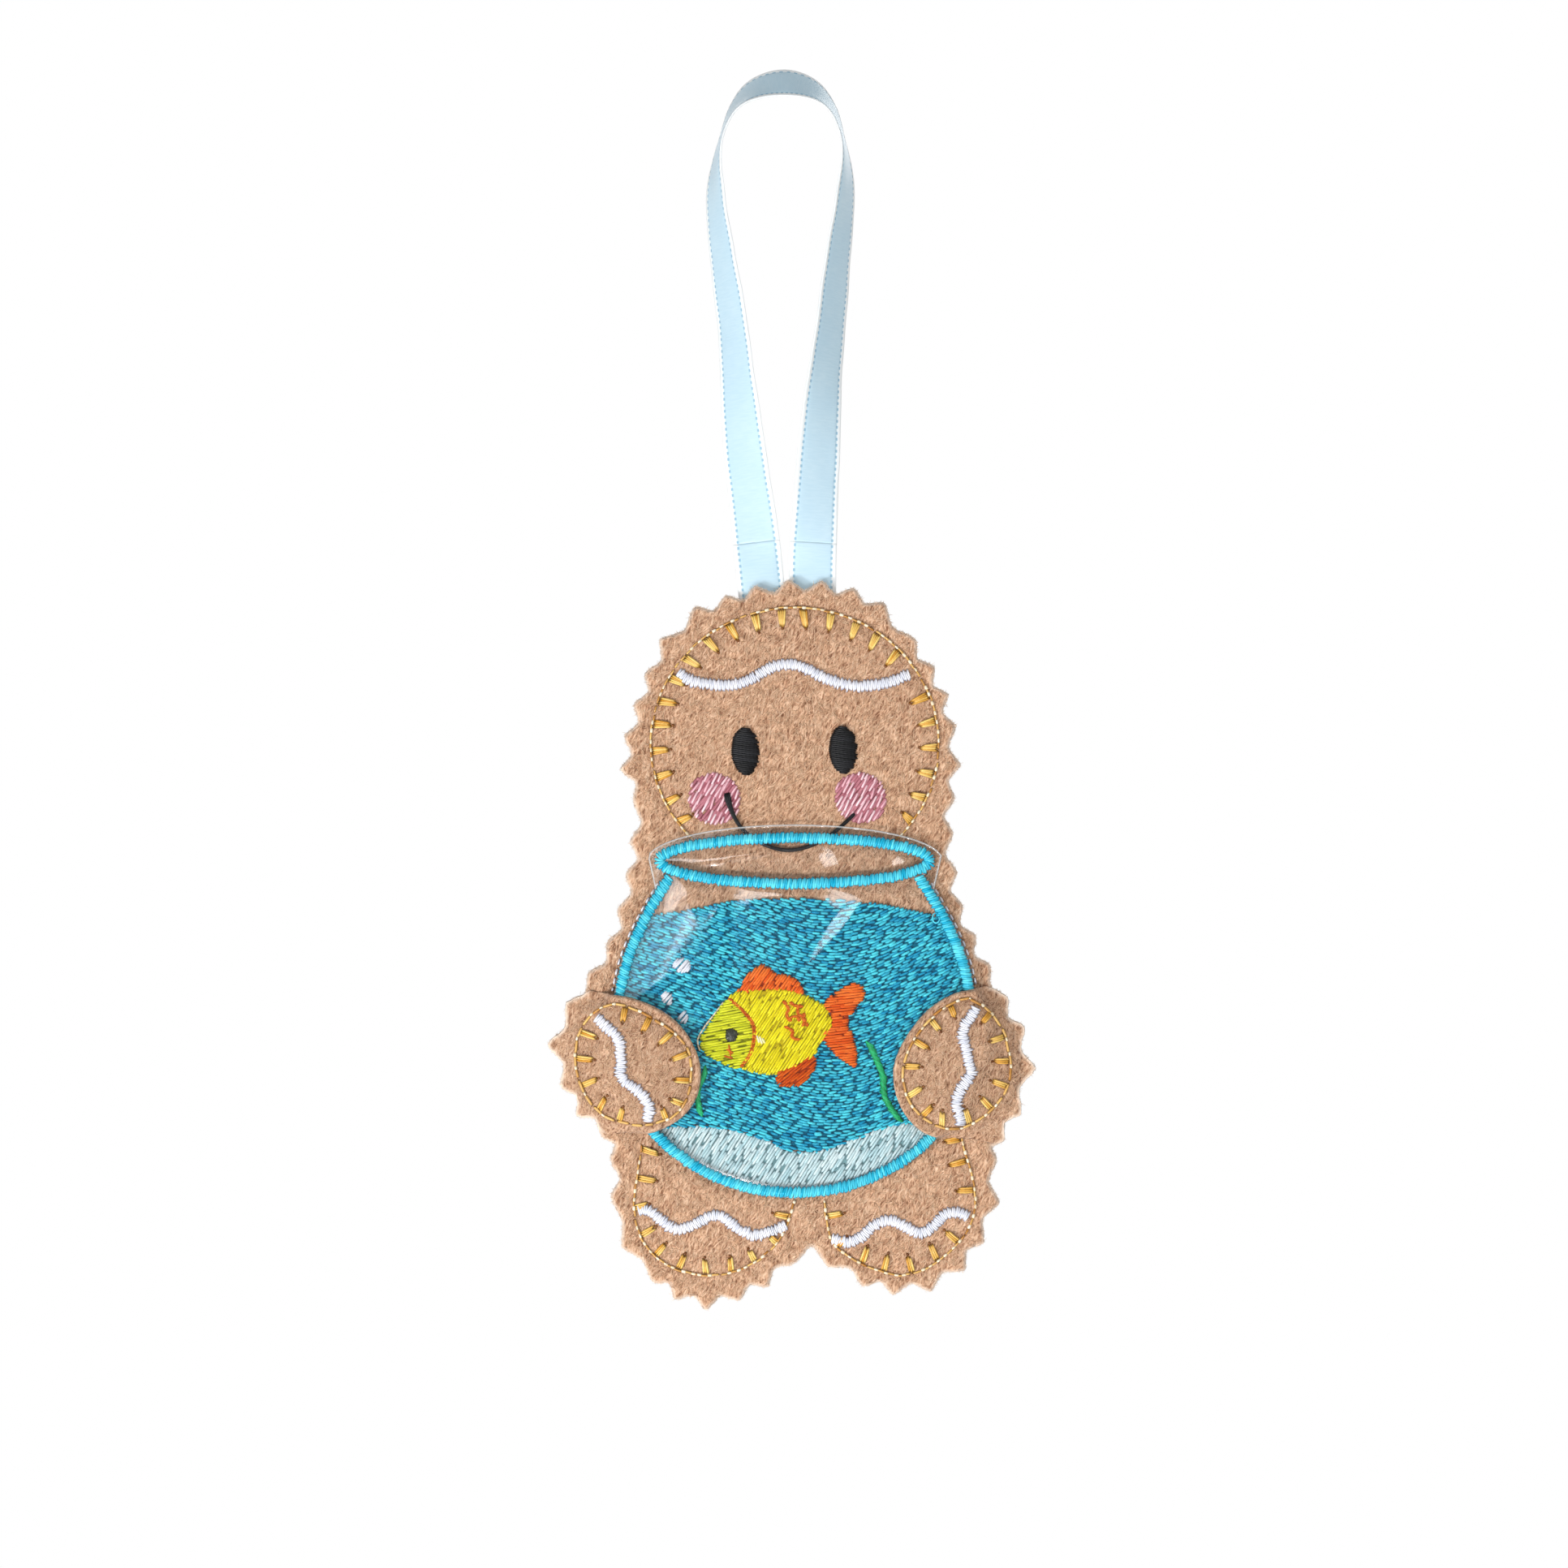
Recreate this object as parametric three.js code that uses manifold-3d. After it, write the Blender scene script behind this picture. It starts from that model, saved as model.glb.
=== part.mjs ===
// A felt gingerbread figure that holds a goldfish bowl and hangs on a loop of satin ribbon.
// It is flat work: two felt layers with pinked edges, a backing sheet between them, embroidery,
// a clear window sewn over the bowl, and two felt hands sewn over the window.
// Millimetres, +Z up, +X to the right of the figure seen from the front, and the front faces -Y.
// The origin is the top of the ribbon loop, where it hangs.
import * as THREE from "three";
import { mergeVertices } from "three/addons/utils/BufferGeometryUtils.js";
import Module from "manifold-3d";

const wasm = await Module();
wasm.setup();

// Cloth, sheet and thread
const FELT_THICKNESS = 1.3;
const STABILISER_THICKNESS = 0.3;
const VINYL_THICKNESS = 0.25;
const RIBBON_WIDTH = 7;
const RIBBON_THICKNESS = 0.3;
const THREAD_WIDTH = 0.7;
const THREAD_THICKNESS = 0.35;
const FILL_THICKNESS = 0.35;
const CHEEK_THICKNESS = 0.25;
const FISH_THICKNESS = 0.3;
const MARK_THICKNESS = 0.15;
const SATIN_THICKNESS = 0.5;
const OUTLINE_WIDTH = 1.5;
const ICING_WIDTH = 1.5;
const MOUTH_WIDTH = 0.7;
const MOUTH_THICKNESS = 0.3;
const STITCH_GAP = 0.3;
const LAY_GAP = 0.05;

// The loop: where its legs part for the twist, and where they fold at the felt
const LOOP_DROP = 74.4;
const TWIST_DROP = 55.5;
const TWIST_GAP = 0.3;
const FOLD_CLEARANCE = 0.6;
const FOLD_GAP = 0.4;
const TAIL_LENGTH = 9.5;
const TAIL_SPLIT = 0.5;
const AXIS_OFFSET = 1.6;

// The edge: how far outside the seams the felt is cut, and the teeth of the shears
const SEAM_ALLOWANCE = 4;
const TOOTH_DEPTH = 1.4;
const STABILISER_INSET = 2.8;

// The blanket stitch along the seams
const BAR_PITCH = 3.55;
const BAR_LENGTH = 2.7;
const BAR_WIDTH = 1;
const BAR_END_WIDTH = 0.7;
const HAND_BAR_PITCH = 2.95;
const HAND_BAR_LENGTH = 2.3;

// The head and its face
const HEAD_WIDTH = 42.9;
const HEAD_HEIGHT = 40.5;
const EYE_SPACING = 14.6;
const EYE_WIDTH = 4.1;
const EYE_HEIGHT = 6.8;
const EYE_DROP = 1.1;
const CHEEK_SPACING = 21.8;
const CHEEK_SIZE = 7.7;
const CHEEK_DROP = 8.2;
const CHEEK_SHIFT = 1.1;

// The bowl, its rim, and what is in it
const RIM_DROP = 17.45;
const RIM_WIDTH = 40.2;
const RIM_HEIGHT = 6.8;
const BOWL_WIDTH = 53.8;
const BOWL_HEIGHT = 48.4;
const BOWL_DROP = 1;
const VINYL_MARGIN = 0.4;
const FISH_LENGTH = 24.4;
const FISH_HEIGHT = 18.2;
const FISH_SHIFT = 1.8;
const FISH_LIFT = 0.7;
const FISH_EYE_SIZE = 2;
const SCALE_MARK_WIDTH = 0.5;
const BUBBLE_SIZE = 1.7;
const WEED_WIDTH = 0.9;

// The hands and legs, by the box round each seam
const LEFT_HAND_WIDTH = 17.5;
const LEFT_HAND_HEIGHT = 18.3;
const RIGHT_HAND_WIDTH = 16.2;
const RIGHT_HAND_HEIGHT = 19.8;
const HAND_SPACING = 48.1;
const HAND_RISE = 19.2;
const SIDE_SEAM_RISE = 11.3;
const DRAPE_LENGTH = 3;
const LEFT_LEG_WIDTH = 24.2;
const RIGHT_LEG_WIDTH = 23;
const LEG_HEIGHT = 21.8;
const LEG_SPACING = 27.3;
const LEG_SHIFT = 1.8;
const LEG_DROP = 1.5;

// Fineness: sides of round shapes and steps along lines, which are counts and not lengths
const ROUND_SIDES = 20;
const SMALL_SIDES = 10;
const LINE_STEPS = 24;
const SHORT_STEPS = 8;
const SIDE_SEAM_STEPS = 4;
const LEG_STEPS = 12;
const CLOSING_STEPS = 120;
const DRAPE_STEPS = 6;
const RIBBON_STEPS = 76;
const RIBBON_CORNERS = 4;

// Layers, from the ribbon's middle plane to the front and to the back
const RIBBON_REAR = RIBBON_THICKNESS / 2;
const RIBBON_FRONT = -RIBBON_REAR;
const STABILISER_FRONT = RIBBON_FRONT - STABILISER_THICKNESS;
const FELT_FRONT = STABILISER_FRONT - FELT_THICKNESS;
const FELT_REAR = RIBBON_REAR + FELT_THICKNESS;
const THREAD_FRONT = FELT_FRONT - THREAD_THICKNESS;
const CHEEK_FRONT = FELT_FRONT - CHEEK_THICKNESS;
const FILL_FRONT = FELT_FRONT - FILL_THICKNESS;
const FISH_FRONT = FILL_FRONT - FISH_THICKNESS;
const MARK_FRONT = FISH_FRONT - MARK_THICKNESS;
const VINYL_FRONT = MARK_FRONT - VINYL_THICKNESS;
const OUTLINE_FRONT = VINYL_FRONT - SATIN_THICKNESS;

// Each sewn shape's middle and size, in the plane of the felt
const box = (x, z, width, height) => ({ x, z, width, height });
const HEAD = box(
  AXIS_OFFSET, -(LOOP_DROP + SEAM_ALLOWANCE + HEAD_HEIGHT / 2), HEAD_WIDTH, HEAD_HEIGHT);
const RIM = box(AXIS_OFFSET, HEAD.z - RIM_DROP, RIM_WIDTH, RIM_HEIGHT);
const BOWL = box(AXIS_OFFSET, RIM.z - BOWL_DROP - BOWL_HEIGHT / 2, BOWL_WIDTH, BOWL_HEIGHT);
const FISH = box(AXIS_OFFSET - FISH_SHIFT, BOWL.z + FISH_LIFT, FISH_LENGTH, FISH_HEIGHT);
const bowlBase = BOWL.z - BOWL_HEIGHT / 2;
const handZ = bowlBase + HAND_RISE;
const legZ = bowlBase - LEG_DROP;
const LEFT_HAND = box(
  AXIS_OFFSET - HAND_SPACING / 2, handZ, LEFT_HAND_WIDTH, LEFT_HAND_HEIGHT);
const RIGHT_HAND = box(
  AXIS_OFFSET + HAND_SPACING / 2, handZ, RIGHT_HAND_WIDTH, RIGHT_HAND_HEIGHT);
const LEFT_LEG = box(
  AXIS_OFFSET + LEG_SHIFT - LEG_SPACING / 2, legZ, LEFT_LEG_WIDTH, LEG_HEIGHT);
const RIGHT_LEG = box(
  AXIS_OFFSET + LEG_SHIFT + LEG_SPACING / 2, legZ, RIGHT_LEG_WIDTH, LEG_HEIGHT);

// The tips of the pinked teeth, clockwise from the top of the head: the angle in degrees round
// the sewn shape that the tip lies outside, and the share of the seam allowance it stands out.
// A third number is how deep the notch after the tip is, as a share of the tooth depth.
const TOOTH_SHARES = [
  [HEAD, [[92, 1], [81, 1.05], [70, 1.08], [59, 1.07], [42, 0.7], [30, 0.64], [18.5, 0.65],
    [6.5, 0.67], [-8, 0.85], [-20, 0.97], [-31, 1.49]]],
  [BOWL, [[46.5, 2.03], [39, 1.3], [29.5, 1], [19.7, 1]]],
  [RIGHT_HAND, [[47.5, 0.8], [24.5, 0.75], [-3, 0.92], [-34, 0.87], [-55, 1.05]]],
  [RIGHT_LEG, [[24.5, 1.14], [-0.5, 0.88], [-26, 0.66], [-47, 0.74], [-71, 0.8], [-93, 0.72],
    [-112, 0.66], [-136, 0.72, 2.1]]],
  [LEFT_LEG, [[-41, 0.8], [-60, 0.9], [-77, 1.02], [-94.5, 1.3], [-111, 1.16], [-126, 0.94, 0.7],
    [-152, 0.88, 0.6], [177, 0.86], [157, 1.2]]],
  [LEFT_HAND, [[-114.5, 0.66], [-138, 0.63], [-162, 0.62], [168, 1.07], [139, 1.11],
    [117, 1.47]]],
  [BOWL, [[153, 1.1], [143.5, 1.46], [135, 2.15]]],
  [HEAD, [[-148, 1.83], [-159, 1.06], [-171, 1.2], [177.5, 0.98], [165.5, 0.8], [154, 0.84],
    [141, 1.08], [125, 1.12], [114, 0.95], [103.5, 0.95]]],
];

// A notch from one tip to the next: shares of the way along, and of the tooth's depth.
const NOTCH_SHARES = [[0, 0], [0.2, 0.25], [0.42, 1], [0.58, 1], [0.8, 0.25]];

// The bowl's side from neck to belly, as shares of its width and height, and what fills it.
const BOWL_SIDE_SHARES = [
  [-0.345, 0.47], [-0.3975, 0.375], [-0.4325, 0.3], [-0.4625, 0.215], [-0.4825, 0.12], [-0.5, 0]];
const WATER_SHARES = [
  [-0.4, 0.348], [-0.28, 0.37], [-0.16, 0.395], [0.06, 0.4], [0.23, 0.385], [0.4, 0.345]];
const SAND_SHARES = [
  [-0.38, -0.3], [-0.25, -0.298], [-0.16, -0.311], [-0.09, -0.335], [-0.01, -0.373],
  [0.07, -0.373], [0.144, -0.346], [0.235, -0.306], [0.316, -0.288], [0.38, -0.318]];
const BUBBLE_SHARES = {
  bubble_top: [-0.311, 0.199],
  bubble_middle: [-0.354, 0.098],
  bubble_low: [-0.309, 0.04],
};
const WEED_SHARES = {
  seaweed_left: [[-0.245, -0.12], [-0.268, -0.19], [-0.262, -0.26]],
  seaweed_right: [[0.205, -0.04], [0.241, -0.133], [0.25, -0.206], [0.29, -0.28]],
};

// The fish, as shares of its whole length and height. Neighbours share the lines between them.
const GILL_SHARES = [
  [-0.326, 0.22], [-0.231, 0.103], [-0.177, -0.003], [-0.177, -0.133], [-0.199, -0.24],
  [-0.256, -0.343]];
const BACK_SHARES = [[-0.27, 0.275], [-0.112, 0.293], [0.017, 0.287], [0.12, 0.26]];
const TAIL_ROOT_SHARES = [[0.246, 0.167], [0.291, 0.093], [0.291, -0.003], [0.236, -0.087]];
const BELLY_SHARES = [[0.185, -0.25], [0.07, -0.34], [-0.032, -0.397]];
const FISH_SHARES = {
  fish_head: [...GILL_SHARES, [-0.3, -0.343], [-0.396, -0.29], [-0.485, -0.213], [-0.5, -0.12],
    [-0.45, 0], [-0.39, 0.12]],
  fish_body: [GILL_SHARES[0], ...BACK_SHARES, ...TAIL_ROOT_SHARES, ...BELLY_SHARES,
    [-0.112, -0.4], [-0.239, -0.36], ...GILL_SHARES.slice(1).reverse()],
  fish_dorsal_fin: [...BACK_SHARES, [0.095, 0.36], [0.017, 0.413], [-0.032, 0.413],
    [-0.112, 0.5], [-0.206, 0.413]],
  fish_tail: [...TAIL_ROOT_SHARES, [0.276, -0.173], [0.371, -0.29], [0.445, -0.333],
    [0.45, -0.24], [0.435, -0.107], [0.396, 0.02], [0.45, 0.147], [0.5, 0.24], [0.49, 0.307],
    [0.428, 0.333]],
  fish_anal_fin: [...BELLY_SHARES, [-0.032, -0.48], [0.037, -0.5], [0.117, -0.48],
    [0.172, -0.397], [0.205, -0.31]],
};
const FISH_EYE_SHARE = [-0.313, -0.083];
const SCALE_MARK_SHARES = [
  [0, 0.17], [0.06, 0.06], [0.1, 0.16], [0.14, 0.02], [0.05, -0.04], [0.13, -0.09]];

// The smile and the icing, as shares of the shape that they lie on.
const SMILE_SHARES = [
  [-0.236, -0.183], [-0.223, -0.24], [-0.186, -0.311], [-0.121, -0.365], [-0.028, -0.394],
  [0.06, -0.375], [0.122, -0.338], [0.168, -0.299], [0.207, -0.259]];
const ICING_SHARES = {
  icing_forehead: [HEAD, [[-0.405, 0.262], [-0.369, 0.234], [-0.302, 0.219], [-0.212, 0.216],
    [-0.144, 0.24], [-0.079, 0.281], [-0.02, 0.293], [0.037, 0.278], [0.105, 0.24],
    [0.178, 0.216], [0.261, 0.213], [0.345, 0.231], [0.4, 0.254]]],
  icing_left_leg: [LEFT_LEG, [[-0.475, -0.055], [-0.42, -0.047], [-0.34, -0.116],
    [-0.242, -0.185], [-0.145, -0.16], [-0.035, -0.097], [0.045, -0.097], [0.125, -0.169],
    [0.235, -0.224], [0.33, -0.202], [0.435, -0.16]]],
  icing_right_leg: [RIGHT_LEG, [[-0.432, -0.246], [-0.316, -0.274], [-0.232, -0.229],
    [-0.147, -0.147], [-0.032, -0.127], [0.053, -0.172], [0.137, -0.212], [0.221, -0.172],
    [0.289, -0.093], [0.374, -0.065], [0.458, -0.102]]],
};
const HAND_ICING_SHARES = {
  left: [[-0.312, 0.381], [-0.201, 0.288], [-0.118, 0.202], [-0.104, 0.096], [-0.097, -0.003],
    [-0.097, -0.109], [-0.014, -0.175], [0.083, -0.248], [0.139, -0.341], [0.125, -0.46]],
  right: [[0.179, 0.426], [0.134, 0.365], [0.067, 0.291], [0.052, 0.212], [0.082, 0.12],
    [0.101, 0.034], [0.134, -0.064], [0.06, -0.15], [0, -0.236], [0, -0.328], [0.037, -0.402],
    [0.037, -0.46]],
};

// The seams of the hands and legs, as shares of each one's box, and the hands' trimmed edges.
// A hand's edge runs past the felt's own edge, where the shears cut all the layers at once.
const HAND_SEAM_SHARES = {
  left: [[-0.16, 0.49], [0.003, 0.454], [0.208, 0.354], [0.368, 0.242], [0.472, 0.116],
    [0.5, -0.05], [0.479, -0.215], [0.42, -0.345], [0.309, -0.44], [0.139, -0.49],
    [-0.069, -0.48], [-0.229, -0.434], [-0.361, -0.315], [-0.455, -0.149], [-0.493, 0.023],
    [-0.476, 0.209], [-0.417, 0.328], [-0.312, 0.434]],
  right: [[0.12, 0.495], [-0.075, 0.442], [-0.25, 0.328], [-0.403, 0.175], [-0.49, -0.015],
    [-0.49, -0.15], [-0.433, -0.285], [-0.313, -0.4], [-0.127, -0.475], [0.037, -0.485],
    [0.179, -0.435], [0.321, -0.347], [0.448, -0.218], [0.5, -0.083], [0.493, 0.034],
    [0.463, 0.175], [0.388, 0.31], [0.27, 0.42]],
};
// The first point of a hand's seam that lies on the side away from the bowl
const HAND_OUTSIDE_START = 10;
const HAND_EDGE_SHARES = {
  left: [[-0.34, 0.8], [-0.18, 0.585], [0.042, 0.55], [0.215, 0.47], [0.382, 0.345],
    [0.49, 0.2], [0.56, 0.043], [0.576, -0.083], [0.545, -0.248], [0.451, -0.394],
    [0.299, -0.5], [0.12, -0.56], [-0.12, -0.56], [-0.4, -0.6], [-1, -0.6], [-1, 0.8]],
  right: [[0.42, 0.72], [0.134, 0.57], [-0.022, 0.565], [-0.239, 0.475], [-0.403, 0.322],
    [-0.522, 0.138], [-0.575, -0.04], [-0.555, -0.218], [-0.458, -0.39], [-0.3, -0.51],
    [-0.1, -0.56], [0.12, -0.56], [0.42, -0.62], [1, -0.62], [1, 0.72]],
};
const LEG_SEAM_SHARES = {
  left: [[-0.455, 0.4], [-0.47, 0.25], [-0.497, 0.041], [-0.497, -0.097], [-0.45, -0.257],
    [-0.34, -0.398], [-0.18, -0.478], [-0.02, -0.5], [0.14, -0.467], [0.285, -0.378],
    [0.395, -0.257], [0.46, -0.097], [0.49, 0.01]],
  right: [[-0.48, 0.01], [-0.465, -0.11], [-0.43, -0.27], [-0.3, -0.385], [-0.147, -0.46],
    [0.005, -0.5], [0.174, -0.455], [0.321, -0.347], [0.442, -0.201], [0.5, -0.02],
    [0.475, 0.178], [0.43, 0.35], [0.418, 0.4]],
};
// The head's seam runs over the top from one end of the bowl's rim to the other, in degrees.
const HEAD_SEAM_ANGLES = [-40, 220];
// A side seam runs beside the bowl, down from this share of the bowl's height.
const SIDE_SEAM_TOP_SHARE = 0.43;

// The ribbon's route, placed by hand, from one tail between the felts to the other: shares of
// the ribbon's width across and of the loop's drop down, and by how many degrees its face turns
// from the front towards the loop's outside.
const RIBBON_ROUTE_SHARES = [
  [-0.457, -1.163, 0], [-0.457, -1.082, 0], [-0.471, -1.031, 0], [-0.543, -0.961, 0],
  [-0.643, -0.876, 15], [-0.829, -0.746, 27], [-0.971, -0.616, 39], [-1.1, -0.485, 51],
  [-1.314, -0.347, 58], [-1.457, -0.237, 68], [-1.443, -0.16, 79], [-1.314, -0.102, 84],
  [-1.057, -0.048, 73], [-0.629, -0.013, 57], [0, 0, 47], [0.586, -0.013, 57], [1, -0.048, 73],
  [1.229, -0.102, 84], [1.329, -0.16, 79], [1.3, -0.237, 68], [1.157, -0.347, 58],
  [1, -0.485, 51], [0.843, -0.616, 39], [0.743, -0.746, 27], [0.657, -0.876, 15],
  [0.614, -0.961, 0], [0.614, -1.031, 0], [0.614, -1.082, 0], [0.614, -1.163, 0],
];

// The colour and the roughness of each cloth, thread and sheet
const TAN_FELT = { color: "#c79a78", roughness: 1 };
const PAPER = { color: "#efeee8", roughness: 0.9 };
const CLEAR_VINYL = { color: "#e6f2f5", roughness: 0.05 };
const PALE_BLUE_SATIN = { color: "#cfe6f4", roughness: 0.45 };
const GOLD_THREAD = { color: "#d9a03a", roughness: 0.6 };
const WHITE_THREAD = { color: "#f4f5fb", roughness: 0.55 };
const BLACK_THREAD = { color: "#17171a", roughness: 0.55 };
const PINK_THREAD = { color: "#d98fa0", roughness: 0.7 };
const TURQUOISE_THREAD = { color: "#2fc0dc", roughness: 0.4 };
const WATER_THREAD = { color: "#1c9bbf", roughness: 0.5 };
const SAND_THREAD = { color: "#bfe0e2", roughness: 0.6 };
const FISH_THREAD = { color: "#f2e52a", roughness: 0.5 };
const FISH_HEAD_THREAD = { color: "#d6de2e", roughness: 0.5 };
const FIN_THREAD = { color: "#f0642a", roughness: 0.5 };
const WEED_THREAD = { color: "#1fa36a", roughness: 0.6 };

// Lines and outlines are lists of THREE.Vector2 in the plane of the felt, as x and z.
const at = (on, [across, up]) => new THREE.Vector2(on.x + across * on.width, on.z + up * on.height);
const placed = (on, shares) => shares.map((share) => at(on, share));

/** A point in degrees round a box's ellipse, standing out from it by a length. */
function around(on, degrees, out = 0) {
  const angle = THREE.MathUtils.degToRad(degrees);
  return new THREE.Vector2(
    on.x + (on.width / 2 + out) * Math.cos(angle),
    on.z + (on.height / 2 + out) * Math.sin(angle));
}

function arc(on, from, to, steps, out = 0) {
  return Array.from({ length: steps + 1 }, (_, i) =>
    around(on, THREE.MathUtils.lerp(from, to, i / steps), out));
}

const disc = (on, sides = ROUND_SIDES) => arc(on, 0, 360, sides).slice(1);

/** A smooth curve through the points, measured by arc length. */
function smooth(points, closed = false) {
  const curve = new THREE.CatmullRomCurve3(
    points.map((p) => new THREE.Vector3(p.x, p.y, 0)), closed, "centripetal");
  const kept = (u) => (closed ? u - Math.floor(u) : THREE.MathUtils.clamp(u, 0, 1));
  const place = (u) => {
    const p = curve.getPointAt(kept(u));
    return new THREE.Vector2(p.x, p.y);
  };
  const left = (u) => {
    const t = curve.getTangentAt(kept(u));
    return new THREE.Vector2(-t.y, t.x).normalize();
  };
  return { length: curve.getLength(), place, left };
}

/** The point beside a smooth curve, to its left by a length. */
const beside = (line, u, offset) => line.place(u).addScaledVector(line.left(u), offset);

/** Points along a smooth curve, all beside it by one length. */
function row(line, steps, offset = 0) {
  return Array.from({ length: steps + 1 }, (_, i) => beside(line, i / steps, offset));
}

/** The outline of a strip of one width along an open curve. */
function strip(line, width, steps = LINE_STEPS) {
  return [...row(line, steps, -width / 2), ...row(line, steps, width / 2).reverse()];
}

/** One side of a seam with blanket bars that stand out of it, as points along the curve. */
function barredSide(line, count, side, barLength) {
  const edge = (side * THREAD_WIDTH) / 2;
  const root = BAR_WIDTH / 2 / line.length;
  const end = BAR_END_WIDTH / 2 / line.length;
  const points = [];
  for (let i = 0; i < count; i++) {
    const u = (i + 0.5) / count;
    points.push(beside(line, i / count, edge));
    points.push(beside(line, u - root, edge), beside(line, u - end, side * barLength));
    points.push(beside(line, u + end, side * barLength), beside(line, u + root, edge));
  }
  points.push(beside(line, 1, edge));
  return points;
}

const plainSide = (line, count, side) => row(line, 2 * count, (side * THREAD_WIDTH) / 2);

/** An open seam's outline: blanket bars on its left side, plain on its right. */
function seamOutline(line) {
  const count = Math.round(line.length / BAR_PITCH);
  return [...barredSide(line, count, 1, BAR_LENGTH), ...plainSide(line, count, -1).reverse()];
}

/** Grows an outline outwards by a length, each point along the mean of its two sides' normals. */
function grown(outline, out) {
  const n = outline.length;
  const sign = THREE.ShapeUtils.area(outline) > 0 ? 1 : -1;
  return outline.map((p, i) => {
    const t = outline[(i + 1) % n].clone().sub(outline[(i + n - 1) % n]).normalize();
    return p.clone().add(new THREE.Vector2(t.y, -t.x).multiplyScalar(sign * out));
  });
}

/** A flat piece of an outline, from its rear plane to its front plane. */
function plate(outline, rear, front, hole = null) {
  const turned = THREE.ShapeUtils.isClockWise(outline) ? [...outline].reverse() : outline;
  const shape = new THREE.Shape(turned);
  if (hole) {
    shape.holes.push(new THREE.Path(hole));
  }
  const geometry = new THREE.ExtrudeGeometry(shape, { depth: 1, bevelEnabled: false });
  const p = geometry.attributes.position;
  for (let i = 0; i < p.count; i++) {
    p.setXYZ(i, p.getX(i), THREE.MathUtils.lerp(rear, front, p.getZ(i)), p.getY(i));
  }
  return geometry;
}

/** A slab with a plan in X and Y, between two heights. */
function slab(plan, low, high) {
  const settings = { depth: high - low, bevelEnabled: false };
  return new THREE.ExtrudeGeometry(new THREE.Shape(plan), settings).translate(0, 0, low);
}

function solid(geometry) {
  const bare = geometry.clone();
  bare.deleteAttribute("normal");
  bare.deleteAttribute("uv");
  const merged = mergeVertices(bare);
  return new wasm.Manifold(new wasm.Mesh({
    numProp: 3, vertProperties: merged.attributes.position.array, triVerts: merged.index.array,
  }));
}

function geometryOf(manifold) {
  const mesh = manifold.getMesh();
  const geometry = new THREE.BufferGeometry();
  geometry.setAttribute("position", new THREE.BufferAttribute(mesh.vertProperties, 3));
  geometry.setIndex(new THREE.BufferAttribute(mesh.triVerts, 1));
  return geometry;
}

const group = new THREE.Group();

function piece(name, geometry, finish) {
  const mesh = new THREE.Mesh(geometry, new THREE.MeshStandardMaterial({ ...finish, metalness: 0 }));
  mesh.name = name;
  group.add(mesh);
}

// The felt: the shears leave a rounded tooth at each tip and a notch between two.
const tips = TOOTH_SHARES.flatMap(([on, rows]) =>
  rows.map(([degrees, share]) => around(on, degrees, share * SEAM_ALLOWANCE)));
const notchDepths = TOOTH_SHARES.flatMap(([, rows]) =>
  rows.map(([, , share = 1]) => share * TOOTH_DEPTH));

function pinked() {
  return tips.flatMap((tip, i) => {
    const next = tips[(i + 1) % tips.length];
    const along = next.clone().sub(tip).normalize();
    const inward = new THREE.Vector2(along.y, -along.x);
    return NOTCH_SHARES.map(([way, deep]) =>
      tip.clone().lerp(next, way).addScaledVector(inward, deep * notchDepths[i]));
  });
}

const feltOutline = pinked();
const stabiliserOutline = grown(tips, -STABILISER_INSET);
piece("front_felt", plate(feltOutline, STABILISER_FRONT, FELT_FRONT), TAN_FELT);
piece("stabiliser_sheet", plate(stabiliserOutline, RIBBON_FRONT, STABILISER_FRONT), PAPER);

// The ribbon is one tape: its section is carried along the route and turned, then cut in five.
const ribbonCurve = new THREE.CatmullRomCurve3(
  RIBBON_ROUTE_SHARES.map(([across, down]) =>
    new THREE.Vector3(across * RIBBON_WIDTH, 0, down * LOOP_DROP)), false, "centripetal");

/** The turn of the ribbon's face at a place along the route, from its rows on each side. */
function ribbonTurn(t) {
  const lastRow = RIBBON_ROUTE_SHARES.length - 1;
  const i = Math.min(Math.floor(t * lastRow), lastRow - 1);
  const [[, , before], [, , after]] = RIBBON_ROUTE_SHARES.slice(i);
  return THREE.MathUtils.degToRad(THREE.MathUtils.lerp(before, after, t * lastRow - i));
}

/** The four corners of the tape's section, a step of the way along the route. */
function ribbonCorners(step) {
  const t = ribbonCurve.getUtoTmapping(step / RIBBON_STEPS, null);
  const middle = ribbonCurve.getPoint(t);
  const along = ribbonCurve.getTangent(t);
  const turn = ribbonTurn(t);
  const outside = new THREE.Vector3(-along.z, 0, along.x);
  const front = new THREE.Vector3(0, -Math.cos(turn), 0);
  const face = outside.multiplyScalar(Math.sin(turn)).add(front);
  const across = along.clone().cross(face).normalize();
  return [[-1, -1], [1, -1], [1, 1], [-1, 1]].map(([a, b]) => middle.clone()
    .addScaledVector(across, (a * RIBBON_WIDTH) / 2)
    .addScaledVector(face, (b * RIBBON_THICKNESS) / 2));
}

function ribbonGeometry() {
  const corners = Array.from({ length: RIBBON_STEPS + 1 }, (_, step) => ribbonCorners(step)).flat();
  const index = [];
  for (let step = 0; step < RIBBON_STEPS; step++) {
    for (let side = 0; side < RIBBON_CORNERS; side++) {
      const here = step * RIBBON_CORNERS;
      const there = here + RIBBON_CORNERS;
      const next = (side + 1) % RIBBON_CORNERS;
      index.push(here + side, there + next, here + next);
      index.push(here + side, there + side, there + next);
    }
  }
  const end = RIBBON_STEPS * RIBBON_CORNERS;
  index.push(0, 1, 2, 0, 2, 3, end, end + 2, end + 1, end, end + 3, end + 2);
  return new THREE.BufferGeometry().setFromPoints(corners).setIndex(index);
}

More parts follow.
